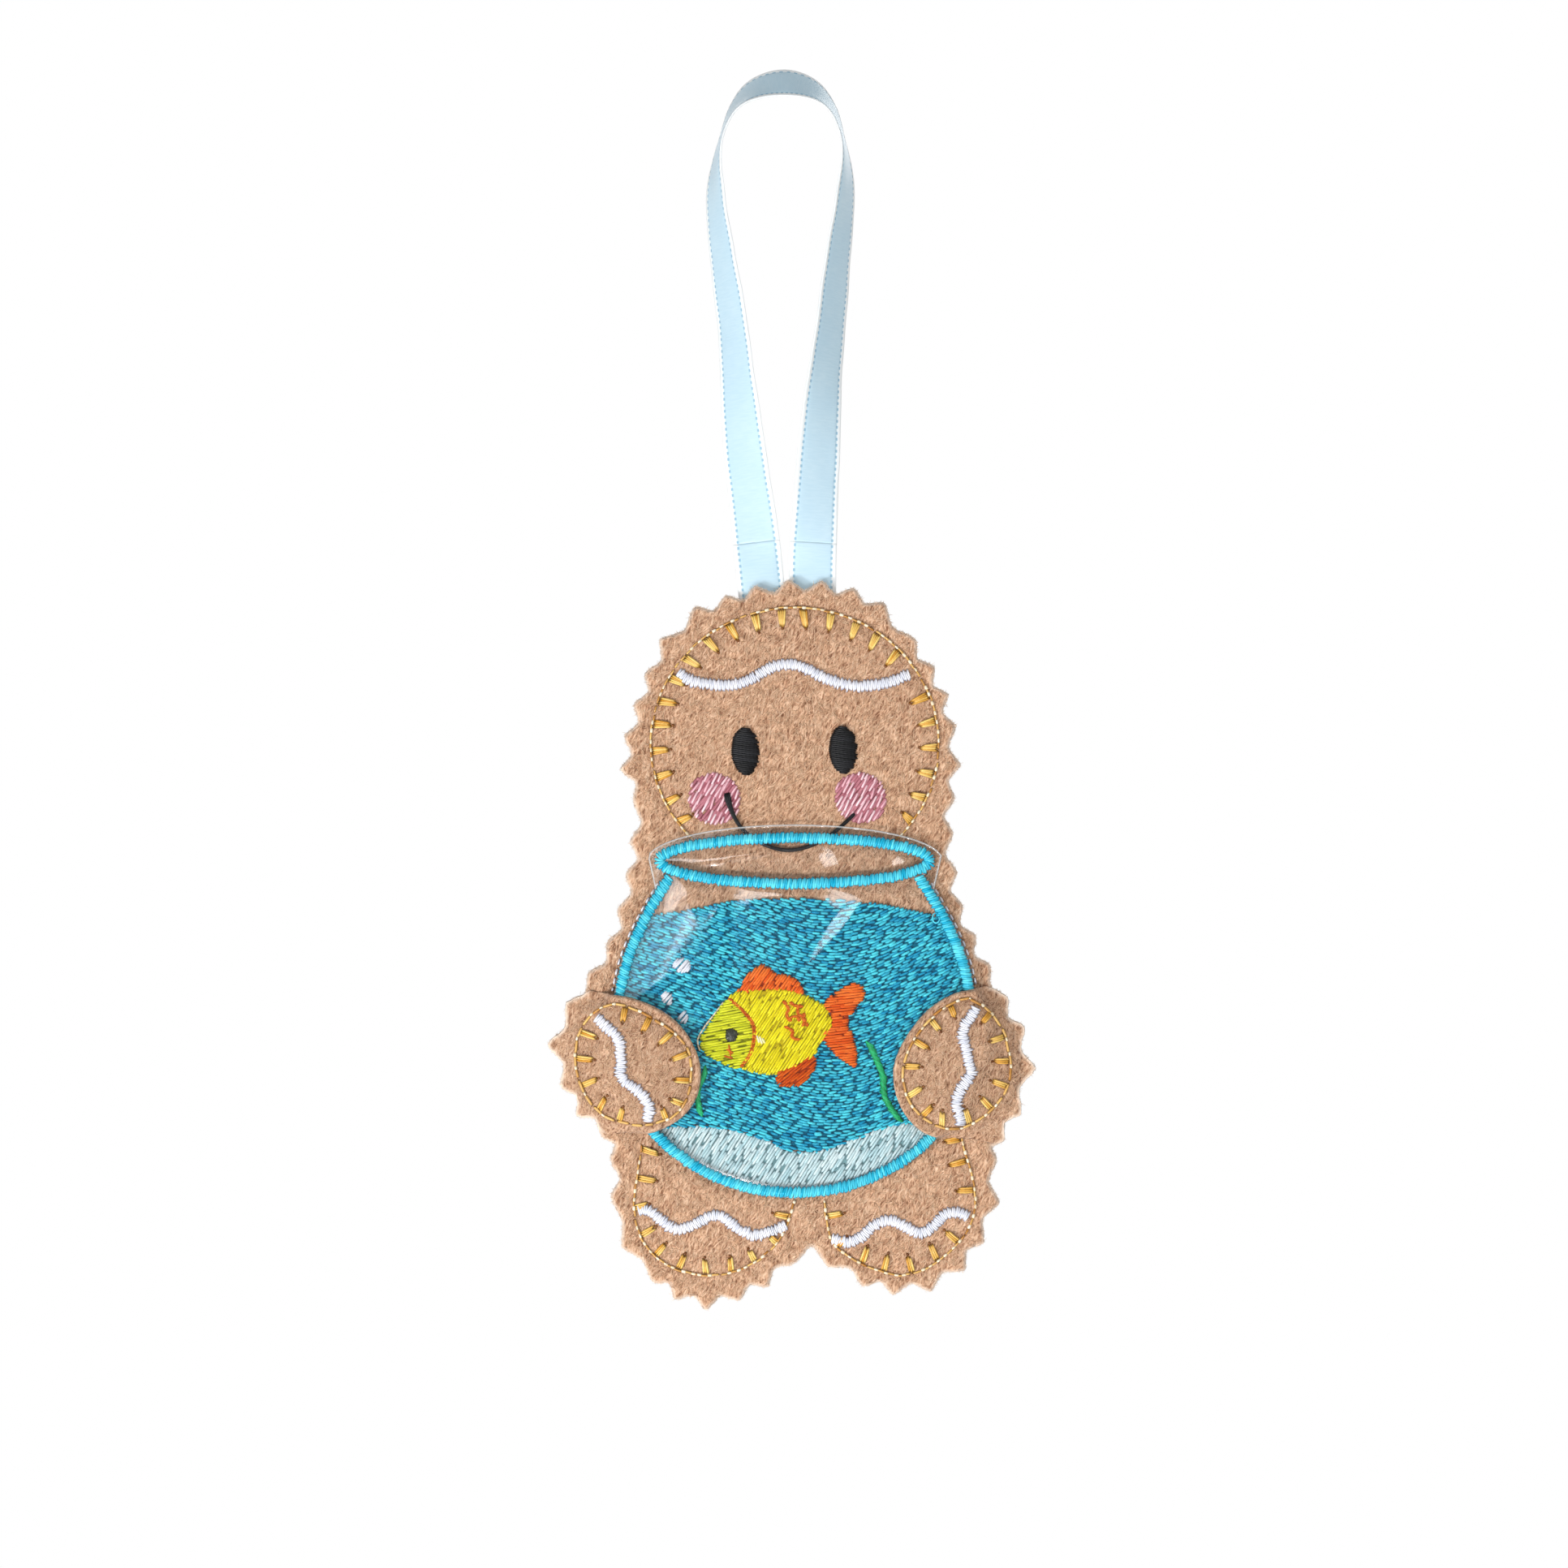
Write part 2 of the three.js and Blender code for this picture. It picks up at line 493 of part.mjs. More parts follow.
const wholeRibbon = solid(ribbonGeometry());

/** The part of the ribbon in a block between two heights, and between two places across. */
function ribbonBetween(low, high, fromX = -LOOP_DROP, toX = LOOP_DROP) {
  const plan = [
    [fromX, -RIBBON_WIDTH], [toX, -RIBBON_WIDTH], [toX, RIBBON_WIDTH], [fromX, RIBBON_WIDTH]];
  const block = slab(plan.map(([x, y]) => new THREE.Vector2(x, y)), low, high);
  return geometryOf(wholeRibbon.intersect(solid(block)));
}

const foldZ = FOLD_CLEARANCE - LOOP_DROP;
const tailEnd = -(LOOP_DROP + TAIL_LENGTH);
const tailTop = foldZ - FOLD_GAP / 2;
const legFoot = foldZ + FOLD_GAP / 2;
const legTop = -TWIST_DROP - TWIST_GAP / 2;
const loopFoot = -TWIST_DROP + TWIST_GAP / 2;
piece("ribbon_loop", ribbonBetween(loopFoot, RIBBON_WIDTH), PALE_BLUE_SATIN);
piece("ribbon_leg_left", ribbonBetween(legFoot, legTop, -LOOP_DROP, 0), PALE_BLUE_SATIN);
piece("ribbon_leg_right", ribbonBetween(legFoot, legTop, 0), PALE_BLUE_SATIN);
piece("ribbon_tail_left", ribbonBetween(tailEnd, tailTop, -LOOP_DROP, TAIL_SPLIT), PALE_BLUE_SATIN);
piece("ribbon_tail_right", ribbonBetween(tailEnd, tailTop, TAIL_SPLIT), PALE_BLUE_SATIN);

// The head's seam, and the face on it.
const headLine = smooth(arc(HEAD, ...HEAD_SEAM_ANGLES, LINE_STEPS));
piece("head_seam_thread", plate(seamOutline(headLine), FELT_FRONT, THREAD_FRONT), GOLD_THREAD);
for (const [name, side] of [["left", -1], ["right", 1]]) {
  const eye = box(HEAD.x + (side * EYE_SPACING) / 2, HEAD.z - EYE_DROP, EYE_WIDTH, EYE_HEIGHT);
  const cheekX = HEAD.x - CHEEK_SHIFT + (side * CHEEK_SPACING) / 2;
  const cheek = box(cheekX, HEAD.z - CHEEK_DROP, CHEEK_SIZE, CHEEK_SIZE);
  piece(`eye_${name}`, plate(disc(eye), FELT_FRONT, FELT_FRONT - SATIN_THICKNESS), BLACK_THREAD);
  piece(`cheek_${name}`, plate(disc(cheek), FELT_FRONT, CHEEK_FRONT), PINK_THREAD);
}
const smile = strip(smooth(placed(HEAD, SMILE_SHARES)), MOUTH_WIDTH);
piece("mouth_stitch", plate(smile, CHEEK_FRONT, CHEEK_FRONT - MOUTH_THICKNESS), BLACK_THREAD);

// The bowl's outline: a curve from neck to belly, then half an ellipse, the same on both sides.
const bowlLeft = [...placed(BOWL, BOWL_SIDE_SHARES), ...arc(BOWL, 180, 270, SHORT_STEPS).slice(1)];
const bowlRight = bowlLeft.map((p) => new THREE.Vector2(2 * BOWL.x - p.x, p.y));
const bowlCurve = smooth([...bowlLeft, ...bowlRight.slice(0, -1).reverse()]);
const bowlLine = row(bowlCurve, 2 * LINE_STEPS);

/** The bowl's outline between two heights on one side, from the top down. */
function bowlSide(side, top, foot) {
  return bowlLine.slice(0, LINE_STEPS + 1)
    .filter((p) => p.y < top - STITCH_GAP && p.y > foot + STITCH_GAP)
    .map((p) => new THREE.Vector2(BOWL.x + side * (BOWL.x - p.x), p.y));
}

/** How far the bowl's outline lies from its middle line at a height. */
function bowlReach(z) {
  const i = bowlLine.findIndex((p) => p.y <= z);
  const [above, below] = [bowlLine[i - 1], bowlLine[i]];
  return BOWL.x - THREE.MathUtils.mapLinear(z, above.y, below.y, above.x, below.x);
}

/** A line across the bowl whose two ends lie on the bowl's outline. */
function acrossBowl(shares) {
  const line = placed(BOWL, shares);
  for (const [end, side] of [[line[0], -1], [line.at(-1), 1]]) {
    end.x = BOWL.x + side * bowlReach(end.y);
  }
  return line;
}

// Water and sand fill the bowl and meet along the sand's top.
const waterTop = acrossBowl(WATER_SHARES);
const sandTop = acrossBowl(SAND_SHARES);
const waterOutline = [
  ...waterTop,
  ...bowlSide(1, waterTop.at(-1).y, sandTop.at(-1).y),
  ...[...sandTop].reverse(),
  ...bowlSide(-1, waterTop[0].y, sandTop[0].y).reverse(),
];
const sandOutline = [
  ...sandTop,
  ...bowlSide(1, sandTop.at(-1).y, bowlBase),
  ...bowlSide(-1, sandTop[0].y, bowlBase).reverse(),
];
piece("water_fill", plate(waterOutline, FELT_FRONT, FILL_FRONT), WATER_THREAD);
piece("sand_fill", plate(sandOutline, FELT_FRONT, FILL_FRONT), SAND_THREAD);

// The fish and its marks, the bubbles and the seaweed lie on the water.
const fishFinishes = { fish_head: FISH_HEAD_THREAD, fish_body: FISH_THREAD };
for (const [name, shares] of Object.entries(FISH_SHARES)) {
  const outline = placed(FISH, shares);
  piece(name, plate(outline, FILL_FRONT, FISH_FRONT), fishFinishes[name] ?? FIN_THREAD);
}
const fishEye = at(FISH, FISH_EYE_SHARE);
const fishEyeOutline = disc(box(fishEye.x, fishEye.y, FISH_EYE_SIZE, FISH_EYE_SIZE));
piece("fish_eye", plate(fishEyeOutline, FISH_FRONT, MARK_FRONT), BLACK_THREAD);
const scaleMark = strip(smooth(placed(FISH, SCALE_MARK_SHARES)), SCALE_MARK_WIDTH);
piece("fish_scale_mark", plate(scaleMark, FISH_FRONT, MARK_FRONT), FIN_THREAD);
for (const [name, share] of Object.entries(BUBBLE_SHARES)) {
  const middle = at(BOWL, share);
  const outline = disc(box(middle.x, middle.y, BUBBLE_SIZE, BUBBLE_SIZE), SMALL_SIDES);
  piece(name, plate(outline, FILL_FRONT, MARK_FRONT), WHITE_THREAD);
}
for (const [name, shares] of Object.entries(WEED_SHARES)) {
  const outline = strip(smooth(placed(BOWL, shares)), WEED_WIDTH, SHORT_STEPS);
  piece(name, plate(outline, FILL_FRONT, MARK_FRONT), WEED_THREAD);
}

// The clear window is trimmed just outside the stitched rim and outline that hold it.
const windowReach = OUTLINE_WIDTH / 2 + VINYL_MARGIN;
const windowOutline = [
  ...arc(RIM, 0, 180, ROUND_SIDES, windowReach),
  ...grown(bowlLine, windowReach).slice(1, -1),
];
piece("vinyl_window", plate(windowOutline, MARK_FRONT, VINYL_FRONT), CLEAR_VINYL);

const rimRing = (out) => arc(RIM, 0, 360, 2 * ROUND_SIDES, out).slice(1);
const rimStitch = plate(
  rimRing(OUTLINE_WIDTH / 2), VINYL_FRONT, OUTLINE_FRONT, rimRing(-OUTLINE_WIDTH / 2));
piece("bowl_rim_stitch", rimStitch, TURQUOISE_THREAD);
const outlineBand = plate(
  strip(bowlCurve, OUTLINE_WIDTH, 2 * LINE_STEPS), VINYL_FRONT, OUTLINE_FRONT);
const rimBlock = plate(
  rimRing(OUTLINE_WIDTH / 2 + STITCH_GAP), FELT_REAR, OUTLINE_FRONT - SATIN_THICKNESS);
const outlineStitch = solid(outlineBand).subtract(solid(rimBlock));
piece("bowl_outline_stitch", geometryOf(outlineStitch), TURQUOISE_THREAD);

// A hand lies on the felt outside the bowl, and over the window and its stitching inside.
const drapeIn = BOWL_WIDTH / 2 + windowReach + STITCH_GAP;
const drapeOut = drapeIn + DRAPE_LENGTH;
const drapeFar = HAND_SPACING + LEFT_HAND_WIDTH;
const drapeLow = LEFT_LEG.z - LEG_HEIGHT;
const drapeHigh = HEAD.z;

/** A slab that follows the felt, then rises over the bowl, between two heights above that. */
function drape(side, rear, front) {
  const climb = Array.from({ length: DRAPE_STEPS + 1 }, (_, i) => {
    const share = i / DRAPE_STEPS;
    const rise = THREE.MathUtils.smoothstep(share, 0, 1);
    return [
      THREE.MathUtils.lerp(drapeOut, drapeIn, share),
      THREE.MathUtils.lerp(FELT_FRONT, OUTLINE_FRONT, rise)];
  });
  const line = [[drapeFar, FELT_FRONT], ...climb, [0, OUTLINE_FRONT]];
  const lifted = (out) => line.map(([x, y]) => new THREE.Vector2(BOWL.x + side * x, y - out));
  return solid(slab([...lifted(rear), ...lifted(front).reverse()], drapeLow, drapeHigh));
}

const handThreadRear = FELT_THICKNESS + LAY_GAP;
const handThreadFront = handThreadRear + THREAD_THICKNESS;
const handIcingRear = handThreadFront + LAY_GAP;
const handIcingFront = handIcingRear + SATIN_THICKNESS;
const handCutFront = OUTLINE_FRONT - handIcingFront - STITCH_GAP;
const feltBlock = solid(plate(feltOutline, FELT_REAR, handCutFront));
for (const [name, side, on] of [["left", -1, LEFT_HAND], ["right", 1, RIGHT_HAND]]) {
  const cut = (outline, hole = null) => solid(plate(outline, FELT_REAR, handCutFront, hole));
  const draped = (block, rear, front) => geometryOf(block.intersect(drape(side, rear, front)));
  const patch = cut(placed(on, HAND_EDGE_SHARES[name])).intersect(feltBlock);
  piece(`hand_${name}_felt`, draped(patch, LAY_GAP, FELT_THICKNESS), TAN_FELT);
  const seam = smooth(placed(on, HAND_SEAM_SHARES[name]), true);
  const count = Math.round(seam.length / HAND_BAR_PITCH);
  const inside = barredSide(seam, count, side, HAND_BAR_LENGTH).slice(1);
  const thread = cut(plainSide(seam, count, -side).slice(1), inside);
  piece(`hand_${name}_seam_thread`, draped(thread, handThreadRear, handThreadFront), GOLD_THREAD);
  const icing = cut(strip(smooth(placed(on, HAND_ICING_SHARES[name])), ICING_WIDTH));
  piece(`icing_${name}_hand`, draped(icing, handIcingRear, handIcingFront), WHITE_THREAD);
}

// The legs' seams lie on the front felt, and the icing lies over the seams.
const legs = {
  left: smooth(placed(LEFT_LEG, LEG_SEAM_SHARES.left)),
  right: smooth(placed(RIGHT_LEG, LEG_SEAM_SHARES.right)),
};
for (const [name, line] of Object.entries(legs)) {
  piece(`leg_${name}_seam_thread`, plate(seamOutline(line), FELT_FRONT, THREAD_FRONT), GOLD_THREAD);
}
for (const [name, [on, shares]] of Object.entries(ICING_SHARES)) {
  const outline = strip(smooth(placed(on, shares)), ICING_WIDTH);
  piece(name, plate(outline, THREAD_FRONT, THREAD_FRONT - SATIN_THICKNESS), WHITE_THREAD);
}

// The side seams run just outside the window, from the neck to the hands.
const sideSeamOut = windowReach + STITCH_GAP + THREAD_WIDTH / 2;

function sideSeam(side) {
  const top = BOWL.z + SIDE_SEAM_TOP_SHARE * BOWL.height;
  const foot = handZ + SIDE_SEAM_RISE;
  return Array.from({ length: SIDE_SEAM_STEPS + 1 }, (_, i) => {
    const z = THREE.MathUtils.lerp(top, foot, i / SIDE_SEAM_STEPS);
    return new THREE.Vector2(BOWL.x + side * (bowlReach(z) + sideSeamOut), z);
  });
}

const sideSeams = { left: sideSeam(-1), right: sideSeam(1) };
for (const [name, points] of Object.entries(sideSeams)) {
  const outline = strip(smooth(points), THREAD_WIDTH);
  piece(`body_seam_${name}_thread`, plate(outline, FELT_FRONT, THREAD_FRONT), WHITE_THREAD);
}

// The seam that closes the two felts runs all the way round and is sunk into the back.
const closing = smooth([
  ...arc(HEAD, ...HEAD_SEAM_ANGLES, LINE_STEPS).reverse(),
  ...sideSeams.right,
  ...placed(RIGHT_HAND, HAND_SEAM_SHARES.right.slice(HAND_OUTSIDE_START)).reverse(),
  ...row(legs.right, LEG_STEPS).reverse(),
  ...row(legs.left, LEG_STEPS).reverse(),
  ...placed(LEFT_HAND, HAND_SEAM_SHARES.left.slice(HAND_OUTSIDE_START)),
  ...[...sideSeams.left].reverse(),
], true);

/** The closing seam as a ring of thread, wider on each side by a margin. */
function closingRing(margin, rear) {
  const side = (offset) => row(closing, CLOSING_STEPS, offset).slice(1);
  const half = THREAD_WIDTH / 2 + margin;
  return plate(side(half), rear, FELT_REAR - THREAD_THICKNESS, side(-half));
}

const backBlank = solid(plate(feltOutline, FELT_REAR, RIBBON_REAR));
const groove = solid(closingRing(LAY_GAP, FELT_REAR + STITCH_GAP));
piece("back_felt", geometryOf(backBlank.subtract(groove)), TAN_FELT);
piece("back_seam_thread", closingRing(0, FELT_REAR), GOLD_THREAD);

export default group;
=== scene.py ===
# %% [markdown]
# # A felt gingerbread ornament, thread by thread
# The real thing is made on an embroidery machine: two sheets of felt, a few metres of rayon
# thread, a square of clear vinyl and a length of satin ribbon. This file dresses the solids of
# that ornament. Cloth is a sheet with a real edge, and every stitch is its own little tube,
# because thread is what catches the light on such a piece.

import bpy
import numpy as np
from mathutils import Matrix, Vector
from mathutils.geometry import delaunay_2d_cdt


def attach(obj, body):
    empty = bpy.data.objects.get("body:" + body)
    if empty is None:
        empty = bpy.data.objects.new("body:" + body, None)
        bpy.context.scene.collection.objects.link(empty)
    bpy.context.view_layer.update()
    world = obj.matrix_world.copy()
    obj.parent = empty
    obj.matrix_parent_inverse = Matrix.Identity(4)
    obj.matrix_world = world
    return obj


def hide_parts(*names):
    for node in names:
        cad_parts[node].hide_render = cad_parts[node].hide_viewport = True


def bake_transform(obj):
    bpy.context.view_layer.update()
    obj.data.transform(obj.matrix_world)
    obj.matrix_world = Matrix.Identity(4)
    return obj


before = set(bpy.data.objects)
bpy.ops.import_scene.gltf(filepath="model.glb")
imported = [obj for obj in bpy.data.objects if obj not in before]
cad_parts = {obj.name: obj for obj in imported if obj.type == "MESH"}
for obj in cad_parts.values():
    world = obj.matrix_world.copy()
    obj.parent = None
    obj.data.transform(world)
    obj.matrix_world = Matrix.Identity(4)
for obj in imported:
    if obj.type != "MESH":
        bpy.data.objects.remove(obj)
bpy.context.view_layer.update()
SEED = 1214
rng = np.random.default_rng(SEED)
MM = 0.001

# %% [markdown]
# ## The camera
# The photograph looks straight at the front of the ornament. The picture is 234 mm wide where
# the ornament hangs, and its middle lies 105 mm under the top of the ribbon. A long lens from
# far away keeps the flat work flat.

# %% The camera
VIEW_WIDTH = 234.2
VIEW_DROP = 104.7
LENS = 100
SENSOR = 36

camera_data = bpy.data.cameras.new("camera")
camera_data.lens = LENS
camera_data.sensor_width = SENSOR
camera = bpy.data.objects.new("camera", camera_data)
camera.location = (0, -VIEW_WIDTH * LENS / SENSOR * MM, -VIEW_DROP * MM)
camera.rotation_euler = (np.pi / 2, 0, 0)
bpy.context.scene.collection.objects.link(camera)
bpy.context.scene.camera = camera
bpy.context.scene.view_settings.view_transform = "Standard"
print("the camera stands", round(-camera.location.y, 3), "m in front")

# %% [markdown]
# ## Colours and nodes
# A colour is written as the hex value that it has on a screen. Blender mixes light in linear
# values, so one function turns the one into the other. Another adds a node with its settings
# and its links, and every material is built with it.

# %% Colours and nodes


def linear(code):
    """The linear colour of a screen colour: c / 12.92 for the darkest values, and above them
    c plus 0.055, over 1.055, to the power of 2.4."""
    c = np.array([int(code[i:i + 2], 16) for i in (1, 3, 5)]) / 255
    return (*np.where(c <= 0.04045, c / 12.92, ((c + 0.055) / 1.055) ** 2.4), 1)


def add(material, kind, inputs=None, **settings):
    """Adds a shader node. A socket among the inputs is linked, and a node by its first output
    in use. A hex colour is set as its linear one, and any other value as it is."""
    node = material.node_tree.nodes.new("ShaderNode" + kind)
    for name, value in settings.items():
        setattr(node, name, value)
    for name, value in (inputs or {}).items():
        if isinstance(value, bpy.types.Node):
            value = next(socket for socket in value.outputs if socket.enabled)
        if isinstance(value, bpy.types.NodeSocket):
            material.node_tree.links.new(value, node.inputs[name])
        else:
            value = linear(value) if isinstance(value, str) else value
            node.inputs[name].default_value = value
    return node


def blank(name):
    """A material with nothing in it but its output."""
    material = bpy.data.materials.new(name)
    material.use_nodes = True
    material.node_tree.nodes.clear()
    return material


def shown(material, shader):
    """The material, with the shader at its output."""
    add(material, "OutputMaterial", {"Surface": shader})
    return material


print("white in linear light is", linear("#ffffff")[:3])

# %% [markdown]
# ## Lines and sheets
# Every piece is worked out in millimetres in the plane of the felt, x to the right and z up,
# and y is how far it lies behind that plane. A smooth line runs through a few chosen points. A
# mesh is put together from whole arrays of points and faces.

# %% Smooth lines
LINES_AT_ONCE = 1500
SIDES_AT_ONCE = 20000
PINS_AT_ONCE = 2000


def smooth(points, per_span=12, closed=False):
    """A smooth line through points. Between two of them it is the centripetal Catmull-Rom
    curve: knots spaced by the square root of the distance, and three rounds of blending
    between neighbours, as a pyramid. A third column is carried along in the same way."""
    p = np.asarray(points, float)
    if closed:
        p = p[np.arange(-1, len(p) + 2) % len(p)]
    else:
        p = np.vstack([2 * p[0] - p[1], p, 2 * p[-1] - p[-2]])
    a, b, c, d = (p[i:len(p) - 3 + i, None] for i in range(4))
    gap = [np.linalg.norm((v - u)[..., :2], axis=-1, keepdims=True) ** 0.5
           for u, v in ((a, b), (b, c), (c, d))]
    t0 = np.zeros_like(gap[0])
    t1, t2, t3 = gap[0], gap[0] + gap[1], gap[0] + gap[1] + gap[2]
    t = t1 + gap[1] * np.linspace(0, 1, per_span, endpoint=False)[None, :, None]

    def between(u, v, from_t, to_t):
        return ((to_t - t) * u + (t - from_t) * v) / (to_t - from_t)

    first, middle, last = between(a, b, t0, t1), between(b, c, t1, t2), between(c, d, t2, t3)
    line = between(between(first, middle, t0, t2), between(middle, last, t1, t3), t1, t2)
    line = line.reshape(-1, p.shape[1])
    return line if closed else np.vstack([line, p[-2]])


def looped(line, closed=True):
    """A closed line with its first point once more at its end."""
    return np.vstack([line, line[:1]]) if closed else line


def quarter(v):
    """Vectors turned a quarter with the clock."""
    return np.stack([v[..., 1], -v[..., 0]], -1)


def in_parts(points, size, work):
    """What a function gives for many points, worked out for a limited number at a time."""
    parts = np.array_split(points, max(1, len(points) // size))
    return np.concatenate([work(part) for part in parts])


def distances(line):
    """How far along the line each of its points lies."""
    return np.r_[0, np.cumsum(np.linalg.norm(np.diff(line[:, :2], axis=0), axis=1))]


def spots(line, places):
    """The points at distances along a line, and the unit vectors to its left."""
    d = distances(line)
    at = np.stack([np.interp(places, d, column) for column in line.T[:2]], -1)
    step = 0.02 * d[-1] / len(d) + 0.05
    low, high = (np.stack([np.interp(np.clip(places + s, 0, d[-1]), d, column)
                           for column in line.T[:2]], -1) for s in (-step, step))
    t = high - low
    t /= np.linalg.norm(t, axis=-1, keepdims=True)
    return at, -quarter(t)


def even(line, spacing, closed=False):
    """Points along a line, all one distance apart and close to the spacing."""
    line = looped(line, closed)
    length = distances(line)[-1]
    count = max(2, round(length / spacing))
    return spots(line, np.linspace(0, length, count + (not closed), endpoint=not closed))[0]


def apart(points, line, closed=True):
    """The shortest distance from each point to a line: to the nearest point of each of its
    straight pieces, and then the least of these."""
    a = np.asarray(line)
    b = np.roll(a, -1, axis=0)
    if not closed:
        a, b = a[:-1], b[:-1]
    run = b - a
    size = np.maximum((run ** 2).sum(-1), 1e-12)

    def nearest(part):
        t = np.clip(((part[:, None] - a) * run).sum(-1) / size, 0, 1)
        return np.linalg.norm(part[:, None] - a - t[..., None] * run, axis=-1).min(1)

    return in_parts(points, LINES_AT_ONCE, nearest)


def inside(points, outline):
    """True where a point lies inside: an odd number of the outline's sides pass it on the
    right."""
    x0, z0 = outline.T
    x1, z1 = np.roll(x0, -1), np.roll(z0, -1)
    slope = (x1 - x0) / np.where(z1 == z0, 1, z1 - z0)

    def odd(part):
        x, z = part[:, :1], part[:, 1:]
        return (((z0 > z) != (z1 > z)) & (x < x0 + (z - z0) * slope)).sum(-1) % 2 == 1

    return in_parts(points.reshape(-1, 2), SIDES_AT_ONCE, odd).reshape(points.shape[:-1])


def signed_area(outline):
    """The area inside an outline, by half the sum of the cross products of each point and the
    next. It is negative where the outline runs with the clock."""
    x, z = outline.T
    return (x * np.roll(z, -1) - np.roll(x, -1) * z).sum() / 2


def anticlockwise(outline):
    """The outline, turned round where it runs with the clock."""
    return outline if signed_area(outline) > 0 else outline[::-1]


def grown(outline, out):
    """The outline moved outwards by a length along the mean normal of its neighbours."""
    t = np.roll(outline, -1, axis=0) - np.roll(outline, 1, axis=0)
    t /= np.linalg.norm(t, axis=1, keepdims=True)
    return outline + out * np.sign(signed_area(outline)) * quarter(t)


def noise(points, size, seed):
    """Soft unevenness from -1 to 1: six waves of one rough size in odd directions."""
    own = np.random.default_rng(seed)
    turn = own.uniform(0, np.pi, 6)
    rate = 2 * np.pi / size * own.uniform(0.7, 1.4, 6)
    phase = own.uniform(0, 2 * np.pi, 6)
    x, z = points[..., 0, None], points[..., 1, None]
    return np.sin(rate * (x * np.cos(turn) + z * np.sin(turn)) + phase).sum(-1) / 3


ring = smooth([[1, 0], [0, 1], [-1, 0], [0, -1]], closed=True)
print("a smooth ring of", len(ring), "points is", round(distances(looped(ring))[-1], 2), "round")

# %% Meshes from arrays


def mesh_piece(name, points, faces, finish, uv=None, **values):
    """An object from points in millimetres and arrays of faces with equally many corners."""
    corners = np.concatenate([f.ravel() for f in faces]).astype(np.int32)
    sizes = np.concatenate([np.full(len(f), f.shape[1]) for f in faces])
    mesh = bpy.data.meshes.new(name)
    mesh.vertices.add(len(points))
    mesh.vertices.foreach_set("co", (points * MM).astype(np.float32).ravel())
    mesh.loops.add(len(corners))
    mesh.polygons.add(len(sizes))
    mesh.polygons.foreach_set("loop_start", np.r_[0, np.cumsum(sizes)[:-1]].astype(np.int32))
    mesh.polygons.foreach_set("vertices", corners)
    mesh.polygons.foreach_set("use_smooth", np.ones(len(sizes), bool))
    if uv is not None:
        layer = mesh.uv_layers.new(name="lay")
        layer.data.foreach_set("uv", uv[corners].astype(np.float32).ravel())
    for key, value in values.items():
        attribute = mesh.attributes.new(key, "FLOAT", "POINT")
        attribute.data.foreach_set("value", np.asarray(value, np.float32).ravel())
    mesh.update(calc_edges=True)
    mesh.materials.append(finish)
    made = bpy.data.objects.new(name, mesh)
    bpy.context.scene.collection.objects.link(made)
    return made


def on_figure(piece, slot, *nodes):
    """The piece moves with the figure and stands for its solids. The slot is not used."""
    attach(piece, "figure")
    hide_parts(*nodes)
    print(f"{piece.name}: {len(piece.data.polygons)} faces")
    return piece


# %% [markdown]
# ## The ribbon
# One satin tape, 7 mm wide, goes up from the felt, round the loop and down again. It turns on
# edge on its way, so it looks narrow at the sides of the loop and shows its face at the top. The
# tape is a flat section carried along the route and turned. Close to each edge runs a line of
# bound stitches, and the rim outside it is paler and a little thicker.

# %% Satin
RIBBON_WIDTH = 7
BINDING = 2.78
BINDING_HALF = 0.17
BINDING_PITCH = 0.9


def satin_ribbon():
    """Woven polyester satin. Long floats make it glossy along the tape, and its bound edge is
    duller. u runs along the tape and v across it, both in millimetres."""
    m = blank("woven polyester satin")
    lay = add(m, "UVMap", uv_map="lay")
    uv = add(m, "SeparateXYZ", {"Vector": lay}).outputs
    off = add(m, "Math", {0: uv[1]}, operation="ABSOLUTE")
    edge = add(m, "MapRange", {
        "Value": off, "From Min": BINDING - 0.05, "From Max": BINDING + 0.12})
    line = add(m, "Math", {0: off, 1: BINDING, 2: BINDING_HALF}, operation="COMPARE")
    turns = add(m, "Math", {0: uv[0], 1: 2 * np.pi / BINDING_PITCH}, operation="MULTIPLY")
    beat = add(m, "Math", {0: turns}, operation="SINE")
    dot = add(m, "MapRange", {"Value": beat, "From Min": -0.3, "From Max": 0.5})
    dots = add(m, "Math", {0: line, 1: dot}, operation="MULTIPLY")
    cloud = add(m, "TexNoise", {"Vector": lay, "Scale": 0.16, "Detail": 3})
    weave = add(m, "Mapping", {"Vector": lay, "Scale": (3.6, 0.5, 1)})
    floats = add(m, "TexNoise", {"Vector": weave, "Scale": 1, "Detail": 2})
    tone = add(m, "Mix", {0: cloud, 6: "#c4e3f5", 7: "#d6effb"}, data_type="RGBA")
    fine = add(m, "MapRange", {
        "Value": floats, "From Min": 0.35, "From Max": 0.7, "To Max": 0.35})
    satin = add(m, "Mix", {0: fine, 6: tone, 7: "#b8dcef"}, data_type="RGBA")
    bound = add(m, "Mix", {0: edge, 6: satin, 7: "#f6fbfd"}, data_type="RGBA")
    stitched = add(m, "Mix", {0: dots, 6: bound, 7: "#9cc6de"}, data_type="RGBA")
    rough = add(m, "MapRange", {"Value": edge, "To Min": 0.36, "To Max": 0.62})
    relief = add(m, "Bump", {"Height": floats, "Strength": 0.25, "Distance": 0.00006})
    shader = add(m, "BsdfPrincipled", {
        "Base Color": stitched, "Roughness": rough, "Sheen Weight": 0.25,
        "Sheen Roughness": 0.35, "Anisotropic": 0.4, "Normal": relief})
    return shown(m, shader)


SATIN = satin_ribbon()
print("bound edge from", BINDING, "mm off the middle")

